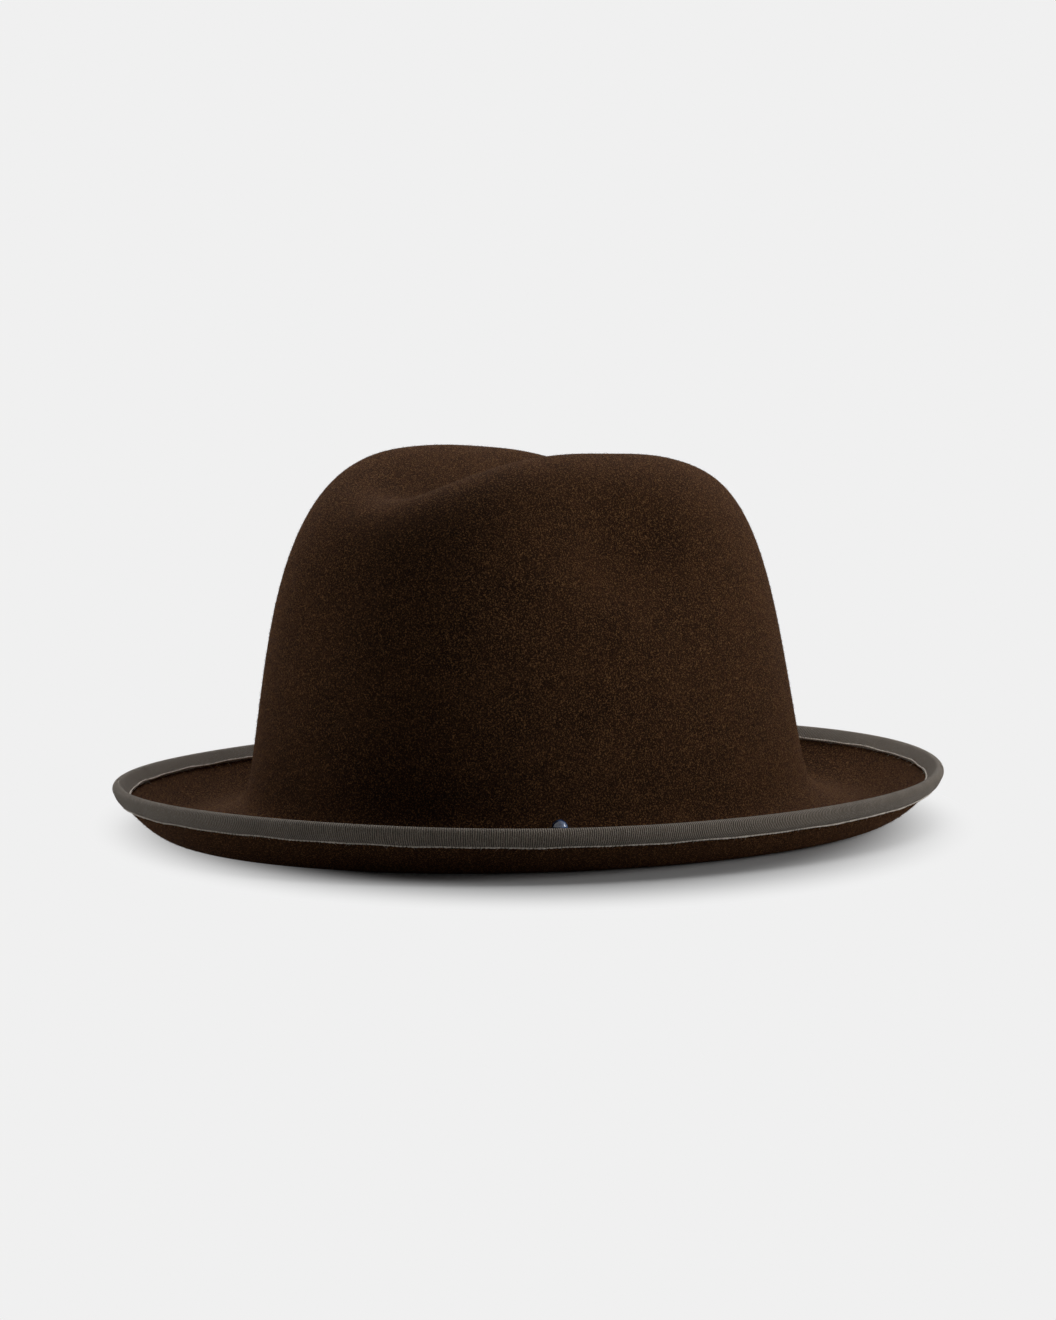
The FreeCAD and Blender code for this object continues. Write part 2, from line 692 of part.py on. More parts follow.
def check():
    for item in doc.Objects:
        if "Invalid" in item.State or "Error" in item.State:
            raise RuntimeError(f"{item.Label} failed: {item.State}")
    for piece in pieces():
        if piece.Shape.isNull() or not piece.Shape.isValid():
            raise RuntimeError(f"{piece.Label} has no valid shape")


def export():
    os.makedirs("parts", exist_ok=True)
    for piece in pieces():
        piece.Shape.exportStep(f"parts/{piece.Label}.step")
        box = piece.Shape.BoundBox
        print(f"{piece.Label}: {len(piece.Shape.Solids)} solid, {piece.Shape.Volume:.1f} mm3,"
              f" x {box.XMin:.1f} to {box.XMax:.1f}, y {box.YMin:.1f} to {box.YMax:.1f},"
              f" z {box.ZMin:.2f} to {box.ZMax:.1f}")


build()
check()
export()
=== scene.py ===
"""Fedora hat: fur felt, ribbon-bound brim, leather sweatband, satin lining and a glass bead."""
import math

import bmesh
import bpy
import numpy as np
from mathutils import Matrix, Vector


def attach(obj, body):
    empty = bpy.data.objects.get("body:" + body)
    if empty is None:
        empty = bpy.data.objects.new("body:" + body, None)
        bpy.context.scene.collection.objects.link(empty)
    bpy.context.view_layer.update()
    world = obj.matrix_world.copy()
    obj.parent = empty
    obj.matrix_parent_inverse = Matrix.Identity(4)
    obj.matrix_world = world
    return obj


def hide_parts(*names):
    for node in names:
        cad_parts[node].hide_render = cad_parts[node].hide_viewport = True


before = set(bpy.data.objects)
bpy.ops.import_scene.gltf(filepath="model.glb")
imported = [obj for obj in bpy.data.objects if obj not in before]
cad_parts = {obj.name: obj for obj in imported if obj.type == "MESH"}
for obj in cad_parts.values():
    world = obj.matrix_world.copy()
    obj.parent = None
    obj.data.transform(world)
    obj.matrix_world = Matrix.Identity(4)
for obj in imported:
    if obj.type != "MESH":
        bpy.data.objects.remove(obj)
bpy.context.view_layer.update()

bl_info = {
    "name": "Fedora hat",
    "version": (1, 0, 0),
    "blender": (4, 5, 0),
    "location": "3D View > Sidebar > Hat",
    "description": "Builds the cloth, felt and trim of a fedora round its construction frame",
    "category": "Add Mesh",
}

MM = 0.001

# Blocked shape of the felt, in millimetres: the front is -Y and the wearer's left is +X.
HALF_WIDTH = 87.0
HALF_LENGTH = 108.0
CROWN_HEIGHT = 123.5
CROWN_FORWARD = 1.6
BREAK_HEIGHT = 9.6
BREAK_FLARE = 2.5
ROUNDNESS = (3.4, 4.3, 5.5)
TAPER = (0.20, 0.09, 0.24)
TAPER_POWER = 0.9
TIP_SLOPE = 0.04
TIP_FALL = 7.6
TIP_HIGH_POINT = -23.0
CREASE_DEPTH = 28.0
CREASE_HALF_WIDTH = 22.0
CREASE_CENTRE = 4.5
CREASE_HALF_LENGTH = 93.0
CREASE_POWER = 6
PINCH_DEPTH = 9.5
PINCH_CENTRE = -22.0
PINCH_HEIGHT = 87.5
PINCH_HALF_LENGTH = 28.0
PINCH_HALF_HEIGHT = 20.0
PINCH_BLEND = 15.0
BRIM_SIDE_WIDTH = 41.9
BRIM_END_WIDTH = 45.2
BRIM_RISE = (12.4, 14.3, 14.7)
CURL_POWER = 1.55
FALL_SHARE = 0.48
FALL_POWER = 1.6
FLAT_SHARE = 0.12
WAVY_SHARE = 0.62
FELT = 2.5

# Trim, in millimetres.
RIBBON_LEG = 4.6
RIBBON = 0.5
RIBBON_GAP = 0.1
STITCH_INSET = 0.5
STITCH_LIFT = 0.14
LINT_LIFT = 0.35
LINING_DEPTH = FELT + 0.35
SATIN = 0.25
LINING_START = 36.0
LINING_SEAM = 0.5
SEAM_HALF_GAP = 0.0015
LEATHER_DEPTH = LINING_DEPTH + SATIN + 0.25
LEATHER = 1.1
LEATHER_START = 3.8
LEATHER_HEIGHT = 46.0
PATCH_GAP = 0.1
BAND_SEAM_HEIGHT = 1.9
REED_HEIGHT = 1.3
TAPE_RADIUS = 1.15
BEAD_RADIUS = 2.6
BEAD_BORE = 0.6
BEAD_LIFT = -6.0
BEAD_ANGLE = math.radians(-39.0)
BEAD_GAP = 0.15
BEAD_THREAD = 0.25

STEP = 0.0005
TURN = 2 * math.pi


# ---- shape of the hat


def round_the_hat(angle, values):
    """A value that differs between the sides, the front and the back."""
    side, front, back = values
    lengthwise = (front + back) / 2 + (back - front) / 2 * np.sin(angle)
    return side * np.cos(angle) ** 2 + lengthwise * np.sin(angle) ** 2


def crown_surface(angle, climb, flare):
    """Outer face of the crown; climb runs from 0 at the break to 1 at the tip."""
    roundness = round_the_hat(angle, ROUNDNESS)
    taper = round_the_hat(angle, TAPER)
    turn = np.clip(climb, 0, 1) * math.pi / 2
    reach = (np.cos(turn) ** roundness + np.sin(turn) ** roundness) ** (1 / roundness)
    rise = np.sin(turn) / reach
    radius = np.cos(turn) / reach * (1 - taper * rise ** TAPER_POWER)
    z = CROWN_HEIGHT * rise
    spread = flare * np.exp(-z / BREAK_FLARE)
    x = (HALF_WIDTH * radius + spread) * np.cos(angle)
    y = (HALF_LENGTH * radius + spread) * np.sin(angle)
    on_top = rise ** CREASE_POWER
    from_high_point = (y - TIP_HIGH_POINT) / HALF_LENGTH
    z = z - on_top * (TIP_SLOPE * y + TIP_FALL * from_high_point ** 2)
    along = ((y - CREASE_CENTRE) / CREASE_HALF_LENGTH) ** 4
    z = z - on_top * CREASE_DEPTH * np.exp(-along - (x / CREASE_HALF_WIDTH) ** 2)
    pinch_along = ((y - PINCH_CENTRE) / PINCH_HALF_LENGTH) ** 2
    pinch_up = ((z - PINCH_HEIGHT) / PINCH_HALF_HEIGHT) ** 2
    x = x - PINCH_DEPTH * np.exp(-pinch_along - pinch_up) * np.tanh(x / PINCH_BLEND)
    return np.stack([x, y - CROWN_FORWARD, z + BREAK_HEIGHT], axis=-1)


def brim_surface(angle, share):
    """Upper face of the brim; share runs from 0 at the break to 1 at the edge."""
    start_x = HALF_WIDTH + BREAK_FLARE
    start_y = HALF_LENGTH + BREAK_FLARE
    x = (start_x + (HALF_WIDTH + BRIM_SIDE_WIDTH - start_x) * share) * np.cos(angle)
    y = (start_y + (HALF_LENGTH + BRIM_END_WIDTH - start_y) * share) * np.sin(angle)
    y = y - CROWN_FORWARD * (1 - share)
    curl_start = FALL_SHARE + FLAT_SHARE
    curl = np.clip((share - curl_start) / (1 - curl_start), 0, None) ** CURL_POWER
    fall = np.clip(1 - share / FALL_SHARE, 0, None) ** FALL_POWER
    z = FELT + round_the_hat(angle, BRIM_RISE) * curl + (BREAK_HEIGHT - FELT) * fall
    return np.stack([x, y, z], axis=-1)


def skin(angle, travel):
    """Outer face of the felt: travel is -1 at the brim's edge and 1 at the tip."""
    angle, travel = np.broadcast_arrays(angle, travel)
    on_brim = (travel < 0)[..., None]
    crown = crown_surface(angle, travel, BREAK_FLARE)
    return np.where(on_brim, brim_surface(angle, np.clip(-travel, 0, None)), crown)


def wall(angle, travel):
    """Crown wall without the flare at its foot, which the inner pieces follow."""
    angle, travel = np.broadcast_arrays(angle, travel)
    return crown_surface(angle, travel, 0.0)


def unit(vectors):
    return vectors / np.linalg.norm(vectors, axis=-1, keepdims=True)


def outward(surface, angle, travel):
    """Unit vectors that point out of the felt's outer face."""
    low = np.maximum(travel - STEP, -1.0)
    high = np.minimum(travel + STEP, 1.0 - STEP)
    up = surface(angle, high) - surface(angle, low)
    sideways = surface(angle + STEP, travel) - surface(angle - STEP, travel)
    return unit(np.cross(sideways, up))


def below(surface, angle, travel, depth):
    """Points that lie depth below the outer face."""
    angle, travel, depth = np.broadcast_arrays(angle, travel, depth)
    return surface(angle, travel) - outward(surface, angle, travel) * depth[..., None]


def travel_at(height):
    """Travel up the crown wall that reaches a height above the break."""
    return np.arctan(height / CROWN_HEIGHT) * 2 / math.pi


def hand_wave(angle, travel):
    """Slight unevenness that steaming and wear leave in the brim and crown."""
    edge = np.clip((-travel - WAVY_SHARE) / (1 - WAVY_SHARE), 0, 1) ** 2
    brim = edge * (0.30 * np.sin(3 * angle + 0.7) + 0.22 * np.sin(5 * angle + 2.1))
    up = np.clip(travel, 0, 1)
    middle = np.sin(math.pi * up) ** 2
    crown = middle * (0.16 * np.sin(4 * angle + 9 * up) + 0.1 * np.sin(7 * angle - 13 * up + 1))
    return brim + crown


def worn_skin(angle, travel):
    """Outer face of the felt with its slight unevenness."""
    lift = hand_wave(angle, travel)[..., None]
    return skin(angle, travel) + outward(skin, angle, travel) * lift


def around(count):
    return np.arange(count) * TURN / count


# ---- meshes


def add_object(name, points, faces, material, smooth=True):
    """Mesh object at the origin; points are in millimetres."""
    mesh = bpy.data.meshes.new(name)
    mesh.from_pydata((np.asarray(points, dtype=float) * MM).tolist(), [], faces)
    mesh.validate()
    mesh.update()
    if smooth:
        mesh.polygons.foreach_set("use_smooth", [True] * len(mesh.polygons))
    piece = bpy.data.objects.new(name, mesh)
    bpy.context.scene.collection.objects.link(piece)
    if material:
        mesh.materials.append(material)
    return piece


def grid_faces(rows, columns, first=0, close_rows=False, flip=False):
    """Quads of a grid whose columns close on themselves."""
    faces = []
    last = rows if close_rows else rows - 1
    for row in range(last):
        here = first + row * columns
        there = first + ((row + 1) % rows) * columns
        for column in range(columns):
            following = (column + 1) % columns
            quad = (here + column, here + following, there + following, there + column)
            faces.append(quad[::-1] if flip else quad)
    return faces


def fan_faces(ring_start, columns, pole, flip=False):
    faces = []
    for column in range(columns):
        triangle = (ring_start + column, ring_start + (column + 1) % columns, pole)
        faces.append(triangle[::-1] if flip else triangle)
    return faces


def domed_shell(name, outer, inner, poles, material):
    """Closed shell of two nested domes that are joined round their rim."""
    rows, columns = len(outer), len(outer[0])
    second = rows * columns
    faces = grid_faces(rows, columns) + grid_faces(rows, columns, second, flip=True)
    faces += fan_faces((rows - 1) * columns, columns, 2 * second)
    faces += fan_faces(second + (rows - 1) * columns, columns, 2 * second + 1, flip=True)
    for column in range(columns):
        following = (column + 1) % columns
        faces.append((following, column, second + column, second + following))
    return add_object(name, np.concatenate([*outer, *inner, poles]), faces, material)


def turn_out(piece, merge=False):
    """Point the faces of a closed mesh outwards, after merging doubled points."""
    shape = bmesh.new()
    shape.from_mesh(piece.data)
    if merge:
        bmesh.ops.remove_doubles(shape, verts=shape.verts, dist=0.001 * MM)
    bmesh.ops.recalc_face_normals(shape, faces=shape.faces)
    shape.to_mesh(piece.data)
    shape.free()


def closed_loop(name, rings, material):
    """Solid ring whose section runs through the given rings of points."""
    rows, columns = len(rings), len(rings[0])
    piece = add_object(name, np.concatenate(rings), grid_faces(rows, columns, 0, True), material)
    turn_out(piece)
    return piece


def add_map(piece, chart):
    """UV map in centimetres with one place for each point."""
    layer = piece.data.uv_layers.new(name="UVMap")
    for loop in piece.data.loops:
        layer.data[loop.index].uv = chart[loop.vertex_index]


def add_length_map(piece, rings):
    """UV map in centimetres: U runs along the first ring and V across the section."""
    rings = np.asarray(rings)
    rows, columns = rings.shape[:2]
    closed = np.concatenate([rings[0], rings[0][:1]])
    along = np.concatenate([[0], np.cumsum(np.linalg.norm(np.diff(closed, axis=0), axis=1))])
    section = np.concatenate([rings[:, 0], rings[:1, 0]])
    across = np.concatenate([[0], np.cumsum(np.linalg.norm(np.diff(section, axis=0), axis=1))])
    layer = piece.data.uv_layers.new(name="UVMap")
    values = np.zeros((len(piece.data.loops), 2))
    for polygon in piece.data.polygons:
        corners = [piece.data.loops[i].vertex_index for i in polygon.loop_indices]
        cells = [(corner // columns, corner % columns) for corner in corners]
        wraps_along = max(c for _, c in cells) - min(c for _, c in cells) > 1
        wraps_across = max(r for r, _ in cells) - min(r for r, _ in cells) > 1
        for loop, (row, column) in zip(polygon.loop_indices, cells):
            column = columns if wraps_along and column == 0 else column
            row = rows if wraps_across and row == 0 else row
            values[loop] = (along[column] / 10, across[row] / 10)
    layer.data.foreach_set("uv", values.ravel())


def section_loop(name, surface, section, columns, material):
    """Band that follows the hat; section is a list of (travel, depth)."""
    angles = around(columns)
    rings = [below(surface, angles, travel, depth) for travel, depth in section]
    piece = closed_loop(name, rings, material)
    add_length_map(piece, rings)
    return piece


def tube_loop(name, centres, radius, sides, material):
    """Closed round cord through a ring of centres."""
    ahead = unit(np.roll(centres, -1, axis=0) - np.roll(centres, 1, axis=0))
    side = unit(np.cross(ahead, [0.0, 0.0, 1.0]))
    lift = np.cross(side, ahead)
    rings = [centres + radius * (math.cos(a) * side + math.sin(a) * lift) for a in around(sides)]
    piece = closed_loop(name, rings, material)
    add_length_map(piece, rings)
    return piece


def settle(piece, slot, *nodes):
    """Hand a finished piece to the frame."""
    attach(piece, "root")
    if nodes:
        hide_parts(*nodes)
    return piece


# ---- materials


def linear(colour):
    """Linear RGBA of an sRGB hex colour."""
    values = [int(colour[i:i + 2], 16) / 255 for i in (1, 3, 5)]
    return (*[v / 12.92 if v <= 0.04045 else ((v + 0.055) / 1.055) ** 2.4 for v in values], 1.0)


def add_node(tree, kind, settings=None, **links):
    """Node with its settings and inputs: a value, a hex colour, an output, or a node for its
    first output. In an input's name __ stands for a space, and i0 is the first input."""
    node = tree.nodes.new(kind)
    for key, value in (settings or {}).items():
        setattr(node, key, value)
    for key, value in links.items():
        name = int(key[1:]) if key[0] == "i" and key[1:].isdigit() else key.replace("__", " ")
        socket = node.inputs[name]
        if isinstance(value, bpy.types.Node):
            value = value.outputs[0]
        if isinstance(value, bpy.types.NodeSocket):
            tree.links.new(value, socket)
        else:
            socket.default_value = linear(value) if isinstance(value, str) else value
    return node


def new_material(name):
    material = bpy.data.materials.new(name)
    material.use_nodes = True
    material.node_tree.nodes.clear()
    return material, material.node_tree


def clad(material, base, roughness, relief=None, **finish):
    """Principled surface; relief is its strength, its depth in millimetres and its height."""
    tree = material.node_tree
    if relief:
        strength, depth, height = relief
        finish["Normal"] = add_node(tree, "ShaderNodeBump", Strength=strength,
                                    Distance=depth * MM, Height=height)
    shader = add_node(tree, "ShaderNodeBsdfPrincipled", Base__Color=base, Roughness=roughness,
                      **finish)
    add_node(tree, "ShaderNodeOutputMaterial", Surface=shader)
    return material


def grains(tree, *patterns, stretch=(1.0, 1.0, 1.0)):
    """Uneven patterns through a piece: size in millimetres, detail and roughness of each."""
    place = add_node(tree, "ShaderNodeTexCoord").outputs["Object"]
    stretched = add_node(tree, "ShaderNodeMapping", i0=place, i3=stretch)
    return [add_node(tree, "ShaderNodeTexNoise", Vector=stretched, Scale=1 / (size * MM),
                     Detail=detail, Roughness=roughness)
            for size, detail, roughness in patterns]


def dye(tree, pattern, low, high, first, second, most=1.0):
    """Colour that goes from the first to the second as the pattern climbs from low to high."""
    share = add_node(tree, "ShaderNodeMapRange", i0=pattern, i1=low, i2=high, i4=most)
    blend = add_node(tree, "ShaderNodeMix", {"data_type": "RGBA"}, i0=share, i6=first, i7=second)
    return blend.outputs[2]


def fur_felt(sizes):
    """Rabbit-fur felt, blocked and pounced: matt, with a short nap that catches the light
    at its edges and fine paler fibres through the dark dye."""
    material, tree = new_material("fur_felt")
    clouds, mottle, grain, pits = grains(
        tree, (16.0, 3.0, 0.6), (2.6, 4.0, 0.7), (0.5, 2.0, 0.8), (0.75, 2.0, 0.8))
    base = dye(tree, clouds, 0.35, 0.68, sizes.felt_dark, sizes.felt_colour)
    base = dye(tree, mottle, 0.5, 0.72, base, sizes.felt_light, 0.55)
    # Painted shade: fine near-black specks stand in for the shade between the fibres.
    base = dye(tree, pits, 0.48, 0.62, base, sizes.felt_pit, 0.68)
    base = dye(tree, grain, 0.52, 0.66, base, sizes.felt_fibre, 0.8)
    [fibres] = grains(tree, (0.4, 4.0, 0.8), stretch=(1.0, 1.0, 0.35))
    heap = add_node(tree, "ShaderNodeMath", {"operation": "MULTIPLY_ADD"},
                    i0=mottle, i1=0.6, i2=fibres)
    return clad(material, base, 0.94, (0.9, 0.6, heap), IOR=1.45, Specular__IOR__Level=0.06,
                Sheen__Weight=0.28, Sheen__Roughness=0.42, Sheen__Tint=sizes.felt_sheen)


def nap_fibre(sizes):
    """Single fur fibres that stand out of the felt: paler than the dyed mass."""
    material, tree = new_material("nap_fibre")
    [shade] = grains(tree, (1.3, 2.0, 0.6))
    base = dye(tree, shade, 0.4, 0.62, sizes.felt_colour, sizes.felt_fibre)
    return clad(material, base, 0.8, Specular__IOR__Level=0.2)


def grosgrain(name, colour, dark, rib_mm):
    """Corded rayon ribbon: fine ribs straight across its width, with a dull lustre."""
    material, tree = new_material(name)
    drift, threads, wear = grains(tree, (3.0, 2.0, 0.6), (0.35, 3.0, 0.8), (9.0, 3.0, 0.6))
    chart = add_node(tree, "ShaderNodeUVMap", {"uv_map": "UVMap"})
    along = add_node(tree, "ShaderNodeSeparateXYZ", i0=chart)
    length = add_node(tree, "ShaderNodeMath", {"operation": "MULTIPLY_ADD"},
                      i0=drift, i1=0.05, i2=along)
    turns = add_node(tree, "ShaderNodeMath", {"operation": "MULTIPLY"},
                     i0=length, i1=TURN * 10 / rib_mm)
    wave = add_node(tree, "ShaderNodeMath", {"operation": "SINE"}, i0=turns)
    rib = add_node(tree, "ShaderNodeMapRange", i0=wave, i1=-1.0)
    # Painted shade: the colour darkens towards the dark colour in the grooves between the ribs.
    base = dye(tree, rib, 0.0, 1.0, dark, colour)
    base = dye(tree, threads, 0.56, 0.66, base, "#cfc4b6", 0.75)
    base = dye(tree, wear, 0.5, 0.75, base, dark, 0.3)
    height = add_node(tree, "ShaderNodeMath", {"operation": "MULTIPLY_ADD"},
                      i0=threads, i1=0.5, i2=rib)
    return clad(material, base, 0.78, (1.0, 0.45, height), Specular__IOR__Level=0.3,
                Sheen__Weight=0.2, Sheen__Roughness=0.4)


def sewing_thread(name, colour, dark):
    """Twisted cotton thread: matt, with a fine twist and a little lint."""
    material, tree = new_material(name)
    [twist] = grains(tree, (0.3, 2.0, 0.7))
    base = dye(tree, twist, 0.35, 0.65, dark, colour)
    return clad(material, base, 0.8, (0.5, 0.08, twist), Specular__IOR__Level=0.25)


def satin(name, colour, light):
    """Acetate satin: long warp floats give a soft streaked shine along the cloth."""
    material, tree = new_material(name)
    [cloud] = grains(tree, (22.0, 2.0, 0.6))
    chart = add_node(tree, "ShaderNodeUVMap", {"uv_map": "UVMap"})
    floats = add_node(tree, "ShaderNodeMapping", i0=chart, i3=(26.0, 1.2, 1.0))
    streak = add_node(tree, "ShaderNodeTexNoise", Vector=floats, Scale=1.5, Detail=3.0)
    # Painted shine: paler streaks in the colour along the warp floats.
    base = dye(tree, streak, 0.35, 0.65, colour, light)
    base = dye(tree, cloud, 0.0, 1.0, base, colour, 0.3)
    return clad(material, base, 0.34, (0.25, 0.08, streak), Anisotropic=0.5, Sheen__Weight=0.15)


def band_leather(name, colour, dark):
    """Vegetable-tanned roan, glazed: fine pores, soft creases and a low shine."""
    material, tree = new_material(name)
    place = add_node(tree, "ShaderNodeTexCoord").outputs["Object"]
    cells = add_node(tree, "ShaderNodeTexVoronoi", {"feature": "DISTANCE_TO_EDGE"},
                     Vector=place, Scale=1 / (0.9 * MM)).outputs["Distance"]
    creases, stain = grains(tree, (4.0, 4.0, 0.65), (18.0, 3.0, 0.6))
    base = dye(tree, stain, 0.35, 0.7, colour, dark)
    base = dye(tree, cells, 0.12, 0.0, base, dark, 0.5)
    pores = add_node(tree, "ShaderNodeMapRange", i0=cells, i2=0.2)
    height = add_node(tree, "ShaderNodeMath", {"operation": "ADD"}, i0=pores, i1=creases)
    gloss = add_node(tree, "ShaderNodeMath", {"operation": "MULTIPLY_ADD"},
                     i0=creases, i1=0.25, i2=0.35)
    return clad(material, base, gloss, (0.35, 0.15, height))


def woven_cloth(name, colour, light, thread_mm):
    """Plain-woven tape or label cloth: over and under threads in two directions."""
    material, tree = new_material(name)
    [fuzz] = grains(tree, (0.5, 3.0, 0.6))
    chart = add_node(tree, "ShaderNodeUVMap", {"uv_map": "UVMap"})
    axes = add_node(tree, "ShaderNodeSeparateXYZ", i0=chart)
    waves = []
    for axis in (0, 1):
        turns = add_node(tree, "ShaderNodeMath", {"operation": "MULTIPLY"},
                         i0=axes.outputs[axis], i1=TURN * 10 / (2 * thread_mm))
        waves.append(add_node(tree, "ShaderNodeMath", {"operation": "SINE"}, i0=turns))
    crossed = add_node(tree, "ShaderNodeMath", {"operation": "MULTIPLY"},
                       i0=waves[0], i1=waves[1])
    weave = add_node(tree, "ShaderNodeMapRange", i0=crossed, i1=-1.0)
    base = dye(tree, weave, 0.0, 1.0, colour, light)
    height = add_node(tree, "ShaderNodeMath", {"operation": "MULTIPLY_ADD"},
                      i0=fuzz, i1=0.4, i2=weave)
    return clad(material, base, 0.85, (0.6, 0.12, height))


def extruded_plastic():
    """Extruded polyethylene rod: pale, waxy and slightly translucent."""
    material, tree = new_material("extruded_polyethylene")
    [draw] = grains(tree, (1.5, 2.0, 0.6))
    base = dye(tree, draw, 0.3, 0.7, "#c9c0a8", "#dcd6c4")
    return clad(material, base, 0.45, Subsurface__Weight=0.1)


def pressed_glass(sizes):
    """Pressed glass bead, dyed through: a deep blue body under a bright polished skin."""
    material, tree = new_material("pressed_blue_glass")
    [swirl] = grains(tree, (1.8, 2.0, 0.6))
    base = dye(tree, swirl, 0.35, 0.7, sizes.bead_colour, sizes.bead_light)
    return clad(material, base, 0.08, IOR=1.52, Coat__Weight=0.6, Coat__Roughness=0.03,
                Transmission__Weight=0.12)


# ---- repeated things


def new_tree(name, inputs):
    """Geometry node group with named inputs after its geometry."""
    tree = bpy.data.node_groups.new(name, "GeometryNodeTree")
    tree.interface.new_socket("Geometry", in_out="INPUT", socket_type="NodeSocketGeometry")
    tree.interface.new_socket("Geometry", in_out="OUTPUT", socket_type="NodeSocketGeometry")
    for label, kind in inputs:
        tree.interface.new_socket(label, in_out="INPUT", socket_type=kind)
    return tree, add_node(tree, "NodeGroupInput"), add_node(tree, "NodeGroupOutput")


def end_tree(tree, given, output, instances):
    """Realise the copies, give them their material and put them out."""
    real = add_node(tree, "GeometryNodeRealizeInstances", i0=instances)
    dressed = add_node(tree, "GeometryNodeSetMaterial", i0=real,
                       Material=given.outputs["Material"])
    tree.links.new(dressed.outputs[0], output.inputs[0])
    return tree


def stitch_tree():
    """Stitches laid end to end along a closed line."""
    tree, given, output = new_tree("stitches_along_seam", (
        ("Pitch", "NodeSocketFloat"), ("Stitch length", "NodeSocketFloat"),
        ("Thread radius", "NodeSocketFloat"), ("Unevenness", "NodeSocketFloat"),
        ("Seed", "NodeSocketInt"), ("Material", "NodeSocketMaterial")))
    line = add_node(tree, "GeometryNodeMeshToCurve", i0=given.outputs["Geometry"])
    evenly = add_node(tree, "GeometryNodeResampleCurve", {"mode": "LENGTH"},
                      Curve=line, Length=given.outputs["Pitch"])
    tangent = add_node(tree, "GeometryNodeInputTangent")
    along = add_node(tree, "FunctionNodeAlignRotationToVector", {"axis": "Z"}, Vector=tangent)
    slant = add_node(tree, "FunctionNodeRandomValue", {"data_type": "FLOAT_VECTOR"},
                     i0=(-0.14, -0.14, 0.0), i1=(0.14, 0.14, 0.0), Seed=given.outputs["Seed"])
    slanted = add_node(tree, "FunctionNodeRotateRotation", {"rotation_space": "LOCAL"},
                       Rotation=along, Rotate__By=slant)
    bead = add_node(tree, "GeometryNodeMeshUVSphere", Segments=8, Rings=6, Radius=1.0)
    half = add_node(tree, "ShaderNodeMath", {"operation": "MULTIPLY"},
                    i0=given.outputs["Stitch length"], i1=0.5)
    girth = given.outputs["Thread radius"]
    shape = add_node(tree, "ShaderNodeCombineXYZ", X=girth, Y=girth, Z=half)
    stitch = add_node(tree, "GeometryNodeTransform", Geometry=bead, Scale=shape)
    less, more = [add_node(tree, "ShaderNodeMath", {"operation": operation},
                           i0=1.0, i1=given.outputs["Unevenness"])
                  for operation in ("SUBTRACT", "ADD")]
    spread = add_node(tree, "FunctionNodeRandomValue", {"data_type": "FLOAT"},
                      i2=less, i3=more, Seed=given.outputs["Seed"])
    copies = add_node(tree, "GeometryNodeInstanceOnPoints", Points=evenly, Instance=stitch,
                      Rotation=slanted, Scale=spread.outputs[1])
    return end_tree(tree, given, output, copies)


def fibre_tree():
    """Fine tapered fibres that stand out of a surface at random."""
    tree, given, output = new_tree("fibres_on_surface", (
        ("Per square metre", "NodeSocketFloat"), ("Fibre length", "NodeSocketFloat"),
        ("Fibre radius", "NodeSocketFloat"), ("Lean", "NodeSocketFloat"),
        ("Seed", "NodeSocketInt"), ("Material", "NodeSocketMaterial")))
    scatter = add_node(tree, "GeometryNodeDistributePointsOnFaces",
                       Mesh=given.outputs["Geometry"],
                       Density=given.outputs["Per square metre"], Seed=given.outputs["Seed"])
    spin = add_node(tree, "FunctionNodeRandomValue", {"data_type": "FLOAT_VECTOR"},
                    i0=(0.0, 0.0, 0.0), i1=(0.0, 0.0, TURN), Seed=given.outputs["Seed"])
    least = add_node(tree, "ShaderNodeMath", {"operation": "MULTIPLY"},
                     i0=given.outputs["Lean"], i1=0.55)
    tilt = add_node(tree, "FunctionNodeRandomValue", {"data_type": "FLOAT"},
                    i2=least, i3=given.outputs["Lean"], Seed=given.outputs["Seed"])
    tilted = add_node(tree, "ShaderNodeCombineXYZ", X=tilt.outputs[1])
    turned = scatter.outputs["Rotation"]
    for turn in (spin, tilted):
        turned = add_node(tree, "FunctionNodeRotateRotation", {"rotation_space": "LOCAL"},
                          Rotation=turned, Rotate__By=turn)
    fibre = add_node(tree, "GeometryNodeMeshCone", {"fill_type": "NGON"}, Vertices=3,
                     Radius__Top=0.0, Radius__Bottom=given.outputs["Fibre radius"],
                     Depth=given.outputs["Fibre length"])
    size = add_node(tree, "FunctionNodeRandomValue", {"data_type": "FLOAT"},
                    i2=0.45, i3=1.25, Seed=given.outputs["Seed"])
    copies = add_node(tree, "GeometryNodeInstanceOnPoints", Points=scatter, Instance=fibre,
                      Rotation=turned, Scale=size.outputs[1])
    return end_tree(tree, given, output, copies)


def grow(name, carrier, tree, values):
    """Run a node group on the carrier, keep its result as a plain mesh, drop the carrier."""
    modifier = carrier.modifiers.new("grow", "NODES")
    modifier.node_group = tree
    for item in tree.interface.items_tree:
        if item.item_type == "SOCKET" and item.in_out == "INPUT" and item.name in values:
            modifier[item.identifier] = values[item.name]
    evaluated = carrier.evaluated_get(bpy.context.evaluated_depsgraph_get())
    mesh = bpy.data.meshes.new_from_object(evaluated)
    mesh.name = name
    piece = bpy.data.objects.new(name, mesh)
    bpy.context.scene.collection.objects.link(piece)
    mesh.polygons.foreach_set("use_smooth", [True] * len(mesh.polygons))
    carrier.modifiers.remove(modifier)
    bpy.data.objects.remove(carrier, do_unlink=True)
    return piece


def seam_line(name, points):
    """Closed line of edges for stitches to follow; points are in millimetres."""
    count = len(points)
    mesh = bpy.data.meshes.new(name)
    edges = [(i, (i + 1) % count) for i in range(count)]
    mesh.from_pydata((np.asarray(points) * MM).tolist(), edges, [])
    carrier = bpy.data.objects.new(name, mesh)
    bpy.context.scene.collection.objects.link(carrier)
    return carrier


# ---- felt


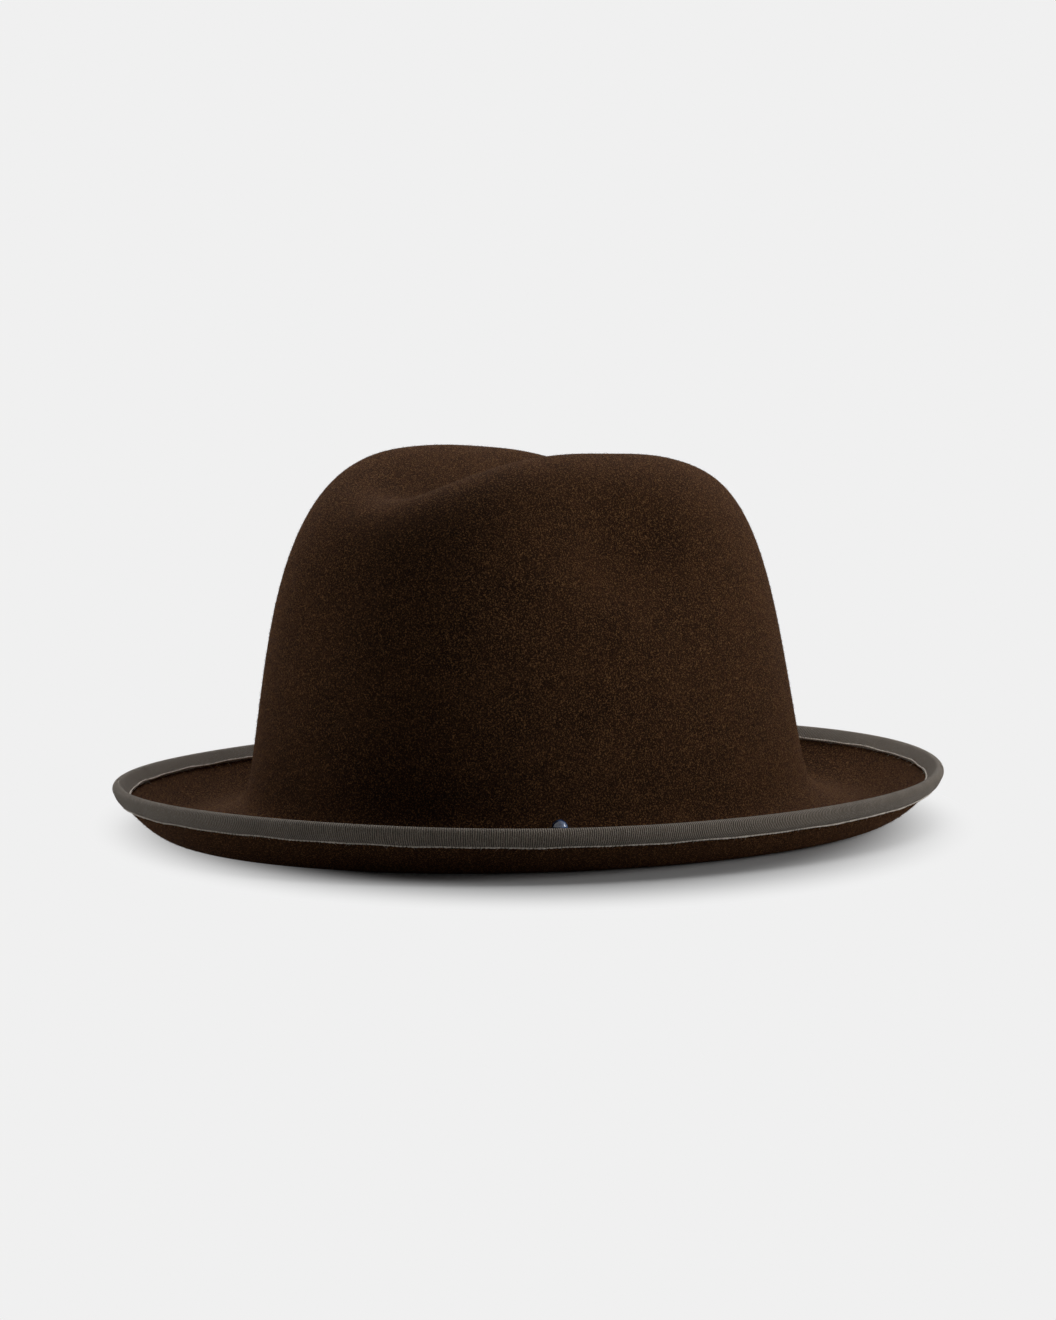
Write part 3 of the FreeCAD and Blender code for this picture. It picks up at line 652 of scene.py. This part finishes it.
def felt_travels():
    """Rings up the felt, closest where it bends most."""
    brim = -np.concatenate([np.linspace(1, WAVY_SHARE, 22), np.linspace(0.6, 0.08, 18)])
    break_line = [-0.055, -0.035, -0.018, 0.0, 0.006, 0.013, 0.022, 0.035]
    crown = np.concatenate([np.linspace(0.05, 0.34, 18), np.linspace(0.355, 0.985, 52)])
    return np.concatenate([brim, break_line, crown])


def make_felt(material):
    """Crown and brim as one closed shell."""
    angles = around(224)
    outer, inner = [], []
    for travel in felt_travels():
        ring = np.full(angles.shape, travel)
        outer.append(worn_skin(angles, ring))
        inner.append(outer[-1] - outward(skin, angles, ring) * FELT)
    top = skin(0.0, 1.0)
    return domed_shell("felt", outer, inner, [top, top - [0, 0, FELT]], material)


def nap_base():
    """Faces that show their nap: the whole outside, and the brim's curl from below."""
    columns = 160
    angles = around(columns)
    travels = felt_travels()[2::2]
    under = travels[travels < -WAVY_SHARE]
    outer = [worn_skin(angles, travel) for travel in travels]
    lower = [worn_skin(angles, travel) - outward(skin, angles, travel) * FELT
             for travel in under]
    rows = len(travels)
    faces = grid_faces(rows, columns)
    faces += grid_faces(len(under), columns, rows * columns, flip=True)
    return add_object("nap_base", np.concatenate([*outer, *lower]), faces, None)


# ---- edge ribbon


def edge_frames(angles):
    """Middle of the felt's edge, with its forward and upward directions."""
    edge = np.full(angles.shape, -1.0)
    up = outward(skin, angles, edge)
    middle = worn_skin(angles, edge) - up * (FELT / 2)
    along = skin(angles + STEP, edge) - skin(angles - STEP, edge)
    return middle, unit(np.cross(along, up)), up


def over_leg(angles, distance, depth):
    """Points over the brim's end, a distance from its edge and depth below its upper face."""
    per_share = np.linalg.norm(skin(angles, -1.0) - skin(angles, -0.9), axis=-1) / 0.1
    travel = -1.0 + distance / per_share
    up = outward(skin, angles, travel)
    return worn_skin(angles, travel) - up * np.asarray(depth)[..., None]


def ribbon_puff(distance):
    """The ribbon rolls up off the felt between its fold and its seam."""
    share = np.clip(distance / (RIBBON_LEG - STITCH_INSET), 0, 1)
    return np.sin(math.pi * share) ** 0.8


def ribbon_rings(angles, clearance, puffs, fray):
    """Rings of one face of the folded ribbon, from its upper leg round to its lower leg."""
    upper_puff, lower_puff = puffs
    rings = []
    legs = RIBBON_LEG * np.array([1.0, 0.94, 0.87, 0.8, 0.7, 0.58, 0.44, 0.3, 0.15])
    for distance in legs:
        reach = distance + fray * (distance > RIBBON_LEG * 0.95)
        lift = clearance + upper_puff * ribbon_puff(distance)
        rings.append(over_leg(angles, reach, -lift * np.ones_like(angles)))
    middle, forward, up = edge_frames(angles)
    radius = FELT / 2 + clearance
    for swing in np.radians(np.linspace(90, -90, 11)):
        rings.append(middle + forward * radius * math.cos(swing) + up * radius * math.sin(swing))
    for distance in legs[::-1]:
        reach = distance + fray * (distance > RIBBON_LEG * 0.95)
        drop = FELT + clearance + lower_puff * ribbon_puff(distance)
        rings.append(over_leg(angles, reach, drop * np.ones_like(angles)))
    return rings


def make_ribbon(material):
    """Ribbon folded over the brim's edge, puckered a little by its seam."""
    columns = 1500
    angles = around(columns)
    rng = np.random.default_rng(4)
    fray = np.convolve(rng.normal(0, 0.16, columns + 4), np.ones(5) / 5, mode="valid")
    fray = fray + 0.07 * np.sin(angles * 730)
    still = np.zeros(columns)
    inner = ribbon_rings(angles, RIBBON_GAP, (still, still), still)
    slack = 1 + 0.35 * np.sin(7 * angles) * np.sin(19 * angles + 1)
    outer = ribbon_rings(angles, RIBBON_GAP + RIBBON, (0.16 * slack, 0.42 * slack), fray)
    rings = outer + inner[::-2]
    ribbon = closed_loop("edge_ribbon", rings, material)
    add_length_map(ribbon, rings)
    return ribbon


def seam_points(under):
    """Where the seam runs along one leg of the ribbon, with a slight wander."""
    angles = around(900)
    wander = 0.16 * np.sin(angles * 23 + under) + 0.12 * np.sin(angles * 41 + 2)
    distance = RIBBON_LEG - STITCH_INSET + wander
    height = RIBBON_GAP + RIBBON + STITCH_LIFT
    if under:
        return over_leg(angles, distance, np.full(angles.shape, FELT + height))
    return over_leg(angles, distance, np.full(angles.shape, -height))


def lint_base(under):
    """Narrow strip along the ribbon's own edge, where threads have worked loose."""
    columns = 400
    angles = around(columns)
    depth = FELT + LINT_LIFT if under else -LINT_LIFT
    rings = [over_leg(angles, distance, np.full(angles.shape, depth))
             for distance in (RIBBON_LEG - 0.7, RIBBON_LEG + 0.3)]
    faces = grid_faces(2, columns, flip=under)
    return add_object("lint_base", np.concatenate(rings), faces, None)


# ---- inside the crown


def leather_section():
    """Travel and depth round the leather's section, with a tooled line near its top."""
    steps_up = np.linspace(LEATHER_START, LEATHER_START + LEATHER_HEIGHT, 15)
    outer = [(travel_at(h), LEATHER_DEPTH) for h in steps_up]
    top = steps_up[-1]
    over = [(travel_at(top + 0.35), LEATHER_DEPTH + 0.3),
            (travel_at(top + 0.35), LEATHER_DEPTH + LEATHER - 0.3)]
    face = LEATHER_DEPTH + LEATHER
    tooled = [(travel_at(top - d), face - dip)
              for d, dip in ((0.2, 0), (2.4, 0), (2.8, 0.25), (3.2, 0.25), (3.6, 0))]
    inner = [(travel_at(h), face) for h in steps_up[:-2][::-1]]
    foot = [(travel_at(LEATHER_START - 0.3), face - 0.3),
            (travel_at(LEATHER_START - 0.3), LEATHER_DEPTH + 0.3)]
    return outer + over + tooled + inner + foot


def reed_centres(count):
    angles = around(count)
    reach = LEATHER_DEPTH + TAPE_RADIUS
    return np.stack([(HALF_WIDTH - reach) * np.cos(angles),
                     (HALF_LENGTH - reach) * np.sin(angles) - CROWN_FORWARD,
                     np.full(count, BREAK_HEIGHT + REED_HEIGHT)], axis=-1)


def gathered(angle, travel):
    """Shallow gathers in the lining's side, deepest at its lower edge."""
    share = np.clip((LINING_SEAM - travel) / (LINING_SEAM - travel_at(LINING_START)), 0, 1)
    return 0.11 * share * (np.sin(angle * 46) + 0.6 * np.sin(angle * 29 + 1.3))


def make_lining_side(material):
    columns = 460
    angles = around(columns)
    travels = np.linspace(travel_at(LINING_START), LINING_SEAM - SEAM_HALF_GAP, 26)
    outer, inner = [], []
    for travel in travels:
        depth = LINING_DEPTH - gathered(angles, travel) * 0.5 + 0.06
        outer.append(below(wall, angles, travel, depth))
        inner.append(below(wall, angles, travel, depth + SATIN))
    rings = outer + inner[::-1]
    piece = closed_loop("lining_side_cloth", rings, material)
    add_length_map(piece, rings)
    return piece


def make_lining_tip(material):
    """Oval tip of the lining, pressed into the crease, closed at its middle."""
    angles = around(160)
    travels = np.linspace(LINING_SEAM + SEAM_HALF_GAP, 0.985, 44)
    outer = [below(wall, angles, travel, LINING_DEPTH) for travel in travels]
    inner = [below(wall, angles, travel, LINING_DEPTH + SATIN) for travel in travels]
    top = wall(0.0, 1.0)
    poles = [top - [0, 0, LINING_DEPTH], top - [0, 0, LINING_DEPTH + SATIN]]
    piece = domed_shell("lining_tip_cloth", outer, inner, poles, material)
    add_map(piece, [(place.co.x * 100, place.co.y * 100) for place in piece.data.vertices])
    return piece


def patch(name, material, middle, lift, half_width, half_height, corner, thickness):
    """Thin soft plate that lies on the sweatband's inner face, with rounded corners."""
    depth = LEATHER_DEPTH + LEATHER + PATCH_GAP
    mid_travel = travel_at(LEATHER_START + lift)
    turned = wall(np.array([middle + 0.01, middle - 0.01]), mid_travel)
    per_radian = np.linalg.norm(turned[0] - turned[1]) / 0.02
    outline = []
    for centre_x, centre_y, start in ((1, 1, 0), (-1, 1, 90), (-1, -1, 180), (1, -1, 270)):
        for swing in np.radians(start + np.linspace(0, 90, 7)):
            outline.append((centre_x * (half_width - corner) + corner * math.cos(swing),
                            centre_y * (half_height - corner) + corner * math.sin(swing)))
    outline = np.array(outline)
    count = len(outline)
    edge = min(thickness / 2, 0.3) / half_width
    layers = ((0.0, 0.0), (0.6, 0.0), (1 - edge, 0.0), (1.0, 0.3), (1.0, 0.7),
              (1 - edge, 1.0), (0.6, 1.0), (0.0, 1.0))
    points = []
    for spread, level in layers:
        flat = outline * spread
        points.append(below(wall, middle + flat[:, 0] / per_radian,
                            travel_at(LEATHER_START + lift + flat[:, 1]),
                            depth + level * thickness))
    faces = grid_faces(len(layers), count)
    piece = add_object(name, np.concatenate(points), faces, material)
    add_map(piece, np.concatenate([outline * spread for spread, _ in layers]) / 10)
    turn_out(piece, merge=True)
    return piece


def wall_frame(surface, angle, travel, depth):
    """Origin and the round, climbing and outward directions at a place on the wall."""
    normal = outward(surface, np.array([angle]), np.array([travel]))[0]
    origin = surface(np.array([angle]), np.array([travel]))[0] - normal * depth
    side = unit(np.cross([0.0, 0.0, 1.0], normal))
    return origin, side, np.cross(normal, side), normal


def make_bow(material):
    """Two flat loops of ribbon, two tails and the knot that holds them."""
    travel = travel_at(LEATHER_START + 8.0)
    depth = LEATHER_DEPTH + LEATHER + 0.9 + 0.8
    origin, side, climb, normal = wall_frame(wall, math.pi / 2, travel, depth)
    points, faces, charts = [], [], []

    def strip(samples):
        """Closed ribbon through (x, out, half height) samples, 0.3 mm thick."""
        start = len(points)
        for index, (x, out, half) in enumerate(samples):
            for level, lift in ((0, -half), (0, half), (1, half), (1, -half)):
                place = origin + side * x + climb * lift - normal * (out + 0.3 * level)
                points.append(place)
                charts.append((index * 0.12, lift / 10))
        for index in range(len(samples) - 1):
            here = start + index * 4
            for corner in range(4):
                following = (corner + 1) % 4
                faces.append((here + corner, here + following,
                              here + 4 + following, here + 4 + corner))
        faces.append((start + 3, start + 2, start + 1, start))
        end = start + (len(samples) - 1) * 4
        faces.append((end, end + 1, end + 2, end + 3))

    for sign in (-1, 1):
        loop = []
        for share in np.linspace(0.04, 0.96, 23):
            reach = math.sin(math.pi * share) ** 0.75
            out = 0.55 - 0.45 * math.cos(math.pi * share)
            loop.append((sign * (0.8 + 9.6 * reach), out, 1.5 + 2.7 * reach))
        strip(loop)
        tail = [(sign * (0.8 + 7.0 * share), 0.05, 1.2 + 0.9 * share)
                for share in np.linspace(0, 1, 9)]
        strip(tail)
    behind = -math.pi / 2
    wrap = np.linspace(behind + 0.05, behind + TURN - 0.05, 24)
    strip([(1.9 * math.cos(a), 0.55 + 0.75 * math.sin(a), 2.1) for a in wrap])
    bow = add_object("ribbon_bow", points, faces, material)
    add_map(bow, charts)
    turn_out(bow)
    return bow


# ---- bead


def bead_frame():
    return wall_frame(skin, BEAD_ANGLE, travel_at(BEAD_LIFT), -(BEAD_RADIUS + BEAD_GAP))


def make_bead(material):
    """Round bead turned about its hole, with softened rims."""
    origin, side, climb, normal = bead_frame()
    start = math.asin((BEAD_BORE + 0.12) / BEAD_RADIUS)
    section = [(BEAD_RADIUS * math.cos(a), BEAD_RADIUS * math.sin(a))
               for a in np.linspace(start, math.pi - start, 36)]
    end = BEAD_RADIUS * math.cos(start)
    section += [(-end + 0.06, BEAD_BORE + 0.03), (-end + 0.2, BEAD_BORE)]
    section += [(end - 0.2, BEAD_BORE), (end - 0.06, BEAD_BORE + 0.03)]
    rings = []
    for along, radius in section:
        swings = around(56)
        rings.append(origin + side * along + radius * (
            np.cos(swings)[:, None] * climb + np.sin(swings)[:, None] * normal))
    return closed_loop("glass_bead", rings, material)


def make_bead_thread(material):
    """Thread through the bead, into the felt at both sides."""
    origin, side, climb, normal = bead_frame()
    reach = BEAD_RADIUS + 0.5
    path = [(-reach - 1.0, -BEAD_RADIUS), (-reach - 1.0, -1.0)]
    path += [(-reach - math.sin(a), -1 + math.cos(a)) for a in np.radians((60, 30, 0))]
    path += [(x, 0.0) for x in np.linspace(-reach + 0.5, reach - 0.5, 7)]
    path += [(-x, z) for x, z in path[:5][::-1]]
    centres = np.array([origin + side * x + normal * z for x, z in path])
    across = np.cross(unit(np.gradient(centres, axis=0)), climb)
    sides = 10
    rings = []
    for centre, one in zip(centres, across):
        rings.append([centre + BEAD_THREAD * (math.cos(a) * one + math.sin(a) * climb)
                      for a in around(sides)])
    count = len(rings)
    points = np.concatenate([*rings, centres[:1], centres[-1:]])
    faces = grid_faces(count, sides)
    faces += fan_faces(0, sides, count * sides, flip=True)
    faces += fan_faces((count - 1) * sides, sides, count * sides + 1)
    thread = add_object("bead_tie", points, faces, material)
    turn_out(thread)
    return thread


# ---- what a user may change


LENGTH = {"unit": "LENGTH", "subtype": "DISTANCE"}
ANGLE = {"unit": "ROTATION", "subtype": "ANGLE"}


def hex_colour(name, description, default):
    """Setting for an sRGB hex colour."""
    return bpy.props.StringProperty(name=name, description=description, default=default)


def number(name, description, default, **kind):
    """Setting for a number, with its unit, subtype or limits."""
    return bpy.props.FloatProperty(name=name, description=description, default=default, **kind)


class FedoraFeltSettings(bpy.types.PropertyGroup):
    """Colours and nap of the felt."""

    felt_colour: hex_colour("Felt", "Dyed felt, sRGB hex", "#3d2719")
    felt_dark: hex_colour("Deep felt", "Felt where the dye is deepest", "#291910")
    felt_light: hex_colour("Worn felt", "Felt where the nap is brushed up", "#4e3223")
    felt_pit: hex_colour("Pits", "Shade between the fibres", "#100805")
    felt_fibre: hex_colour("Fibre", "Pale fibres in the felt", "#a67a50")
    felt_sheen: hex_colour("Sheen", "Light caught by the nap", "#8c5228")
    fibres_per_area: number("Fibres", "Loose fibres per square metre", 300000.0, min=0.0)
    fibre_length: number("Fibre length", "Length of a loose fibre", 1.5 * MM, **LENGTH)
    fibre_radius: number("Fibre radius", "Root of a loose fibre", 0.04 * MM, precision=6, **LENGTH)
    fibre_lean: number("Lean", "How far the fibres lie down", 1.45, **ANGLE)


class FedoraTrimSettings(bpy.types.PropertyGroup):
    """Colours, ribs and stitches of the trim."""

    ribbon_colour: hex_colour("Ribbon", "Edge ribbon, sRGB hex", "#a79989")
    ribbon_dark: hex_colour("Ribbon shade", "Between the ribs", "#3c342c")
    rib_pitch: number("Rib pitch", "Rib spacing of the ribbon in millimetres", 0.72, min=0.2)
    stitch_pitch: number("Stitch pitch", "From stitch to stitch", 1.3 * MM, **LENGTH)
    stitch_radius: number("Stitch thickness", "Radius of the seam thread", 0.3 * MM, **LENGTH)
    thread_colour: hex_colour("Seam thread", "Seam of the edge ribbon", "#f6efe6")
    bead_colour: hex_colour("Bead", "Body of the glass", "#3a5c98")
    bead_light: hex_colour("Bead light", "Paler streaks in the glass", "#8fb0e2")


class FedoraStageSettings(bpy.types.PropertyGroup):
    """Camera and lights."""

    azimuth: number("Azimuth", "Camera round the hat", math.radians(39.9), **ANGLE)
    elevation: number("Elevation", "Camera above level", math.radians(6.1), **ANGLE)
    distance: number("Distance", "Camera to hat", 1.8165, **LENGTH)
    lens: number("Lens", "Focal length on a 36 mm high sensor", 144.7)
    top_power: number("Top", "Power of the light above and behind in watts", 15.0)
    right_power: number("Right", "Power of the light at the right in watts", 10.0)
    left_power: number("Left", "Power of the light at the left in watts", 6.6)
    front_power: number("Front", "Power of the fill beside the camera in watts", 0.5)
    room_strength: number("Room", "Strength of the even room light", 0.012)


# ---- operators


class FEDORA_OT_felt(bpy.types.Operator):
    """Crown and brim of fur felt, with the loose fibres of its nap"""

    bl_idname = "fedora.felt"
    bl_label = "Felt body"

    def execute(self, context):
        sizes = context.scene.fedora_felt
        settle(make_felt(fur_felt(sizes)), "fur_felt", "felt_body")
        nap = grow("felt_nap", nap_base(), fibre_tree(), {
            "Per square metre": sizes.fibres_per_area, "Fibre length": sizes.fibre_length,
            "Fibre radius": sizes.fibre_radius, "Lean": sizes.fibre_lean, "Seed": 7,
            "Material": nap_fibre(sizes)})
        settle(nap, "fur_felt")
        return {"FINISHED"}


class FEDORA_OT_binding(bpy.types.Operator):
    """Edge ribbon, its two rows of stitches and the lint beside them"""

    bl_idname = "fedora.binding"
    bl_label = "Brim binding"

    def execute(self, context):
        sizes = context.scene.fedora_trim
        ribbon = grosgrain("rayon_grosgrain", sizes.ribbon_colour, sizes.ribbon_dark,
                           sizes.rib_pitch)
        settle(make_ribbon(ribbon), "grosgrain_ribbon", "brim_binding")
        cotton = sewing_thread("cotton_thread_cream", sizes.thread_colour, "#d6cabb")
        tree = stitch_tree()
        for under, name, node in ((False, "upper_stitches", "binding_thread_upper"),
                                  (True, "under_stitches", "binding_thread_under")):
            stitches = grow(name, seam_line("seam", seam_points(under)), tree, {
                "Pitch": sizes.stitch_pitch, "Stitch length": sizes.stitch_pitch * 0.98,
                "Thread radius": sizes.stitch_radius, "Unevenness": 0.22, "Seed": 3,
                "Material": cotton})
            settle(stitches, "cream_thread", node)
        lint = fibre_tree()
        for under, name in ((False, "upper_lint"), (True, "under_lint")):
            fibres = grow(name, lint_base(under), lint, {
                "Per square metre": 7e5, "Fibre length": 1.6 * MM, "Fibre radius": 0.06 * MM,
                "Lean": 1.5, "Seed": 11, "Material": cotton})
            settle(fibres, "cream_thread")
        return {"FINISHED"}


class FEDORA_OT_sweatband(bpy.types.Operator):
    """Sweatband with its reed, tape, seam, join cover, bow and plain label"""

    bl_idname = "fedora.sweatband"
    bl_label = "Sweatband"

    def execute(self, context):
        leather = band_leather("glazed_roan", "#6b432a", "#4a2c1a")
        band = section_loop("leather_band", wall, leather_section(), 240, leather)
        settle(band, "sweatband_leather", "sweatband")
        tape = woven_cloth("cotton_tape", "#3a2a22", "#55413a", 0.5)
        settle(tube_loop("reed_cover", reed_centres(300), TAPE_RADIUS, 14, tape),
               "woven_tape", "reed_tape")
        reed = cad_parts["sweatband_reed"]
        reed.data.materials.clear()
        reed.data.materials.append(extruded_plastic())
        thread = sewing_thread("cotton_thread_brown", "#8a6a4c", "#57402c")
        angles = around(700)
        line = below(wall, angles, travel_at(LEATHER_START + BAND_SEAM_HEIGHT),
                     LEATHER_DEPTH + LEATHER + 0.1)
        stitches = grow("band_stitches", seam_line("band_seam", line), stitch_tree(), {
            "Pitch": 2.6 * MM, "Stitch length": 2.1 * MM, "Thread radius": 0.2 * MM,
            "Unevenness": 0.08, "Seed": 5, "Material": thread})
        settle(stitches, "brown_thread", "sweatband_thread")
        tab = patch("join_cover", leather, math.pi / 2, lift=LEATHER_HEIGHT / 2, half_width=6.0,
                    half_height=20.0, corner=3.0, thickness=0.8)
        settle(tab, "sweatband_leather", "sweatband_tab")
        cloth = woven_cloth("label_taffeta", "#b9ae9a", "#d8cfbd", 0.4)
        label = patch("plain_label", cloth, math.radians(62), lift=24.0, half_width=9.0,
                      half_height=5.0, corner=0.6, thickness=0.3)
        settle(label, "label_cloth", "size_label")
        ribbon = grosgrain("narrow_grosgrain", "#6d6156", "#483f37", 0.6)
        settle(make_bow(ribbon), "bow_ribbon", "sweatband_bow")
        return {"FINISHED"}


class FEDORA_OT_lining(bpy.types.Operator):
    """Satin lining in two pieces, with the piping over their seam"""

    bl_idname = "fedora.lining"
    bl_label = "Lining"

    def execute(self, context):
        cloth = satin("acetate_satin", "#4a3426", "#6d5140")
        side = settle(make_lining_side(cloth), "satin", "lining_side")
        tip = settle(make_lining_tip(cloth), "satin", "lining_tip")
        cover = satin("acetate_satin_light", "#7d6450", "#a08670")
        angles = around(300)
        centres = below(wall, angles, LINING_SEAM, LINING_DEPTH + SATIN + 0.65)
        piping = tube_loop("seam_piping", centres, 0.5, 12, cover)
        settle(piping, "satin_piping", "lining_piping")
        return {"FINISHED"}


class FEDORA_OT_bead(bpy.types.Operator):
    """Glass bead at the foot of the crown and the thread that ties it"""

    bl_idname = "fedora.bead"
    bl_label = "Bead"

    def execute(self, context):
        settle(make_bead(pressed_glass(context.scene.fedora_trim)), "blue_glass", "crown_bead")
        thread = sewing_thread("cotton_thread_dark", "#3a2c22", "#231913")
        settle(make_bead_thread(thread), "dark_thread", "bead_thread")
        return {"FINISHED"}


def add_lamp(name, place, target, width, height, power):
    """Rectangular soft light that faces the target; places are in metres."""
    data = bpy.data.lights.new(name, "AREA")
    data.shape = "RECTANGLE"
    data.size = width
    data.size_y = height
    data.energy = power
    lamp = bpy.data.objects.new(name, data)
    lamp.location = place
    lamp.rotation_euler = (Vector(target) - Vector(place)).to_track_quat("-Z", "Y").to_euler()
    bpy.context.scene.collection.objects.link(lamp)


def seen_directly(tree):
    """1 for what the camera sees, straight or in gloss and glass."""
    path = add_node(tree, "ShaderNodeLightPath")
    seen = path.outputs["Is Camera Ray"]
    for ray in ("Is Glossy Ray", "Is Transmission Ray"):
        seen = add_node(tree, "ShaderNodeMath", {"operation": "MAXIMUM"},
                        i0=seen, i1=path.outputs[ray])
    return seen


def level_axes(azimuth):
    """Level directions to the camera's right and towards the camera."""
    right = Vector((math.cos(azimuth), math.sin(azimuth), 0.0))
    return right, Vector((math.sin(azimuth), -math.cos(azimuth), 0.0))


class FEDORA_OT_stage(bpy.types.Operator):
    """Pale floor, soft lights, room light and camera"""

    bl_idname = "fedora.stage"
    bl_label = "Stage"

    def execute(self, context):
        sizes = context.scene.fedora_stage
        self.add_floor(sizes.azimuth)
        self.add_room(sizes)
        self.add_camera(sizes)
        right, ahead = level_axes(sizes.azimuth)
        middle = Vector((0, 0, 0.07))
        add_lamp("top", ahead * -0.9 + Vector((0, 0, 1.3)), middle, 1.0, 0.8, sizes.top_power)
        add_lamp("right", right * 1.5 + ahead * 0.1 + Vector((0, 0, 0.6)), middle, 0.7, 0.9,
                 sizes.right_power)
        add_lamp("left", right * -1.4 - ahead * 0.5 + Vector((0, 0, 0.8)), middle, 0.7, 0.9,
                 sizes.left_power)
        add_lamp("front", ahead * 1.7 + Vector((0, 0, 0.45)), middle, 1.0, 0.6,
                 sizes.front_power)
        context.scene.view_settings.view_transform = "Standard"
        return {"FINISHED"}

    def add_floor(self, azimuth):
        """White sweep: it keeps the hat's shadow and fades to the bright room."""
        material, tree = new_material("matt_floor_paint")
        [grain] = grains(tree, (30.0, 2.0, 0.6))
        base = dye(tree, grain, 0.0, 1.0, "#c4c4c4", "#c1c1c1")
        shader = add_node(tree, "ShaderNodeBsdfPrincipled", Base__Color=base, Roughness=0.9,
                          Specular__IOR__Level=0.1)
        place = add_node(tree, "ShaderNodeTexCoord").outputs["Object"]
        turned = add_node(tree, "ShaderNodeMapping", i0=place, i2=(0.0, 0.0, -azimuth))
        footprint = add_node(tree, "ShaderNodeMapping", i0=turned,
                             i3=(1 / 0.127, 1 / 0.175, 1.0))
        reach = add_node(tree, "ShaderNodeVectorMath", {"operation": "LENGTH"}, i0=footprint)
        away = add_node(tree, "ShaderNodeMapRange", {"interpolation_type": "SMOOTHSTEP"},
                        i0=reach.outputs["Value"], i1=0.82, i2=1.2)
        share = add_node(tree, "ShaderNodeMath", {"operation": "MULTIPLY"},
                         i0=seen_directly(tree), i1=away)
        glow = add_node(tree, "ShaderNodeEmission", Color="#f0f0f0", Strength=1.0)
        mix = add_node(tree, "ShaderNodeMixShader", i0=share, i1=shader, i2=glow)
        add_node(tree, "ShaderNodeOutputMaterial", Surface=mix)
        half = 3000.0
        corners = [(-half, -half, 0), (half, -half, 0), (half, half, 0), (-half, half, 0)]
        floor = add_object("floor", corners, [(0, 1, 2, 3)], material, smooth=False)

    def add_room(self, sizes):
        world = bpy.data.worlds.new("room")
        world.use_nodes = True
        tree = world.node_tree
        tree.nodes.clear()
        room = add_node(tree, "ShaderNodeBackground", Color=(1, 1, 1, 1),
                        Strength=sizes.room_strength)
        bright = add_node(tree, "ShaderNodeBackground", Color="#f0f0f0", Strength=1.0)
        mix = add_node(tree, "ShaderNodeMixShader", i0=seen_directly(tree), i1=room, i2=bright)
        add_node(tree, "ShaderNodeOutputWorld", Surface=mix)
        bpy.context.scene.world = world

    def add_camera(self, sizes):
        right, ahead = level_axes(sizes.azimuth)
        rise = Vector((0, 0, math.sin(sizes.elevation)))
        back = ahead * math.cos(sizes.elevation) + rise
        target = right * -0.0019 + Vector((0, 0, 0.055))
        data = bpy.data.cameras.new("camera")
        data.sensor_fit = "VERTICAL"
        data.sensor_height = 36.0
        data.lens = sizes.lens
        camera = bpy.data.objects.new("camera", data)
        camera.location = target + back * sizes.distance
        camera.rotation_euler = (-back).to_track_quat("-Z", "Y").to_euler()
        bpy.context.scene.collection.objects.link(camera)
        bpy.context.scene.camera = camera


class FEDORA_PT_panel(bpy.types.Panel):
    """Lists what the hat is built from"""

    bl_idname = "FEDORA_PT_panel"
    bl_label = "Fedora hat"
    bl_space_type = "VIEW_3D"
    bl_region_type = "UI"
    bl_category = "Hat"

    def draw(self, context):
        for operator in OPERATORS:
            self.layout.operator(operator.bl_idname)
        for group in ("fedora_felt", "fedora_trim", "fedora_stage"):
            settings = getattr(context.scene, group)
            for name in settings.bl_rna.properties.keys():
                if name not in ("rna_type", "name"):
                    self.layout.prop(settings, name)


SETTINGS = (
    ("fedora_felt", FedoraFeltSettings),
    ("fedora_trim", FedoraTrimSettings),
    ("fedora_stage", FedoraStageSettings),
)
OPERATORS = (FEDORA_OT_felt, FEDORA_OT_binding, FEDORA_OT_sweatband, FEDORA_OT_lining,
             FEDORA_OT_bead, FEDORA_OT_stage)


def register():
    for name, settings in SETTINGS:
        bpy.utils.register_class(settings)
        setattr(bpy.types.Scene, name, bpy.props.PointerProperty(type=settings))
    for entry in (*OPERATORS, FEDORA_PT_panel):
        bpy.utils.register_class(entry)


def unregister():
    for entry in (FEDORA_PT_panel, *reversed(OPERATORS)):
        bpy.utils.unregister_class(entry)
    for name, settings in reversed(SETTINGS):
        delattr(bpy.types.Scene, name)
        bpy.utils.unregister_class(settings)


def main():
    register()
    bpy.ops.fedora.felt()
    bpy.ops.fedora.binding()
    bpy.ops.fedora.sweatband()
    bpy.ops.fedora.lining()
    bpy.ops.fedora.bead()
    bpy.ops.fedora.stage()


if __name__ == "__main__":
    main()
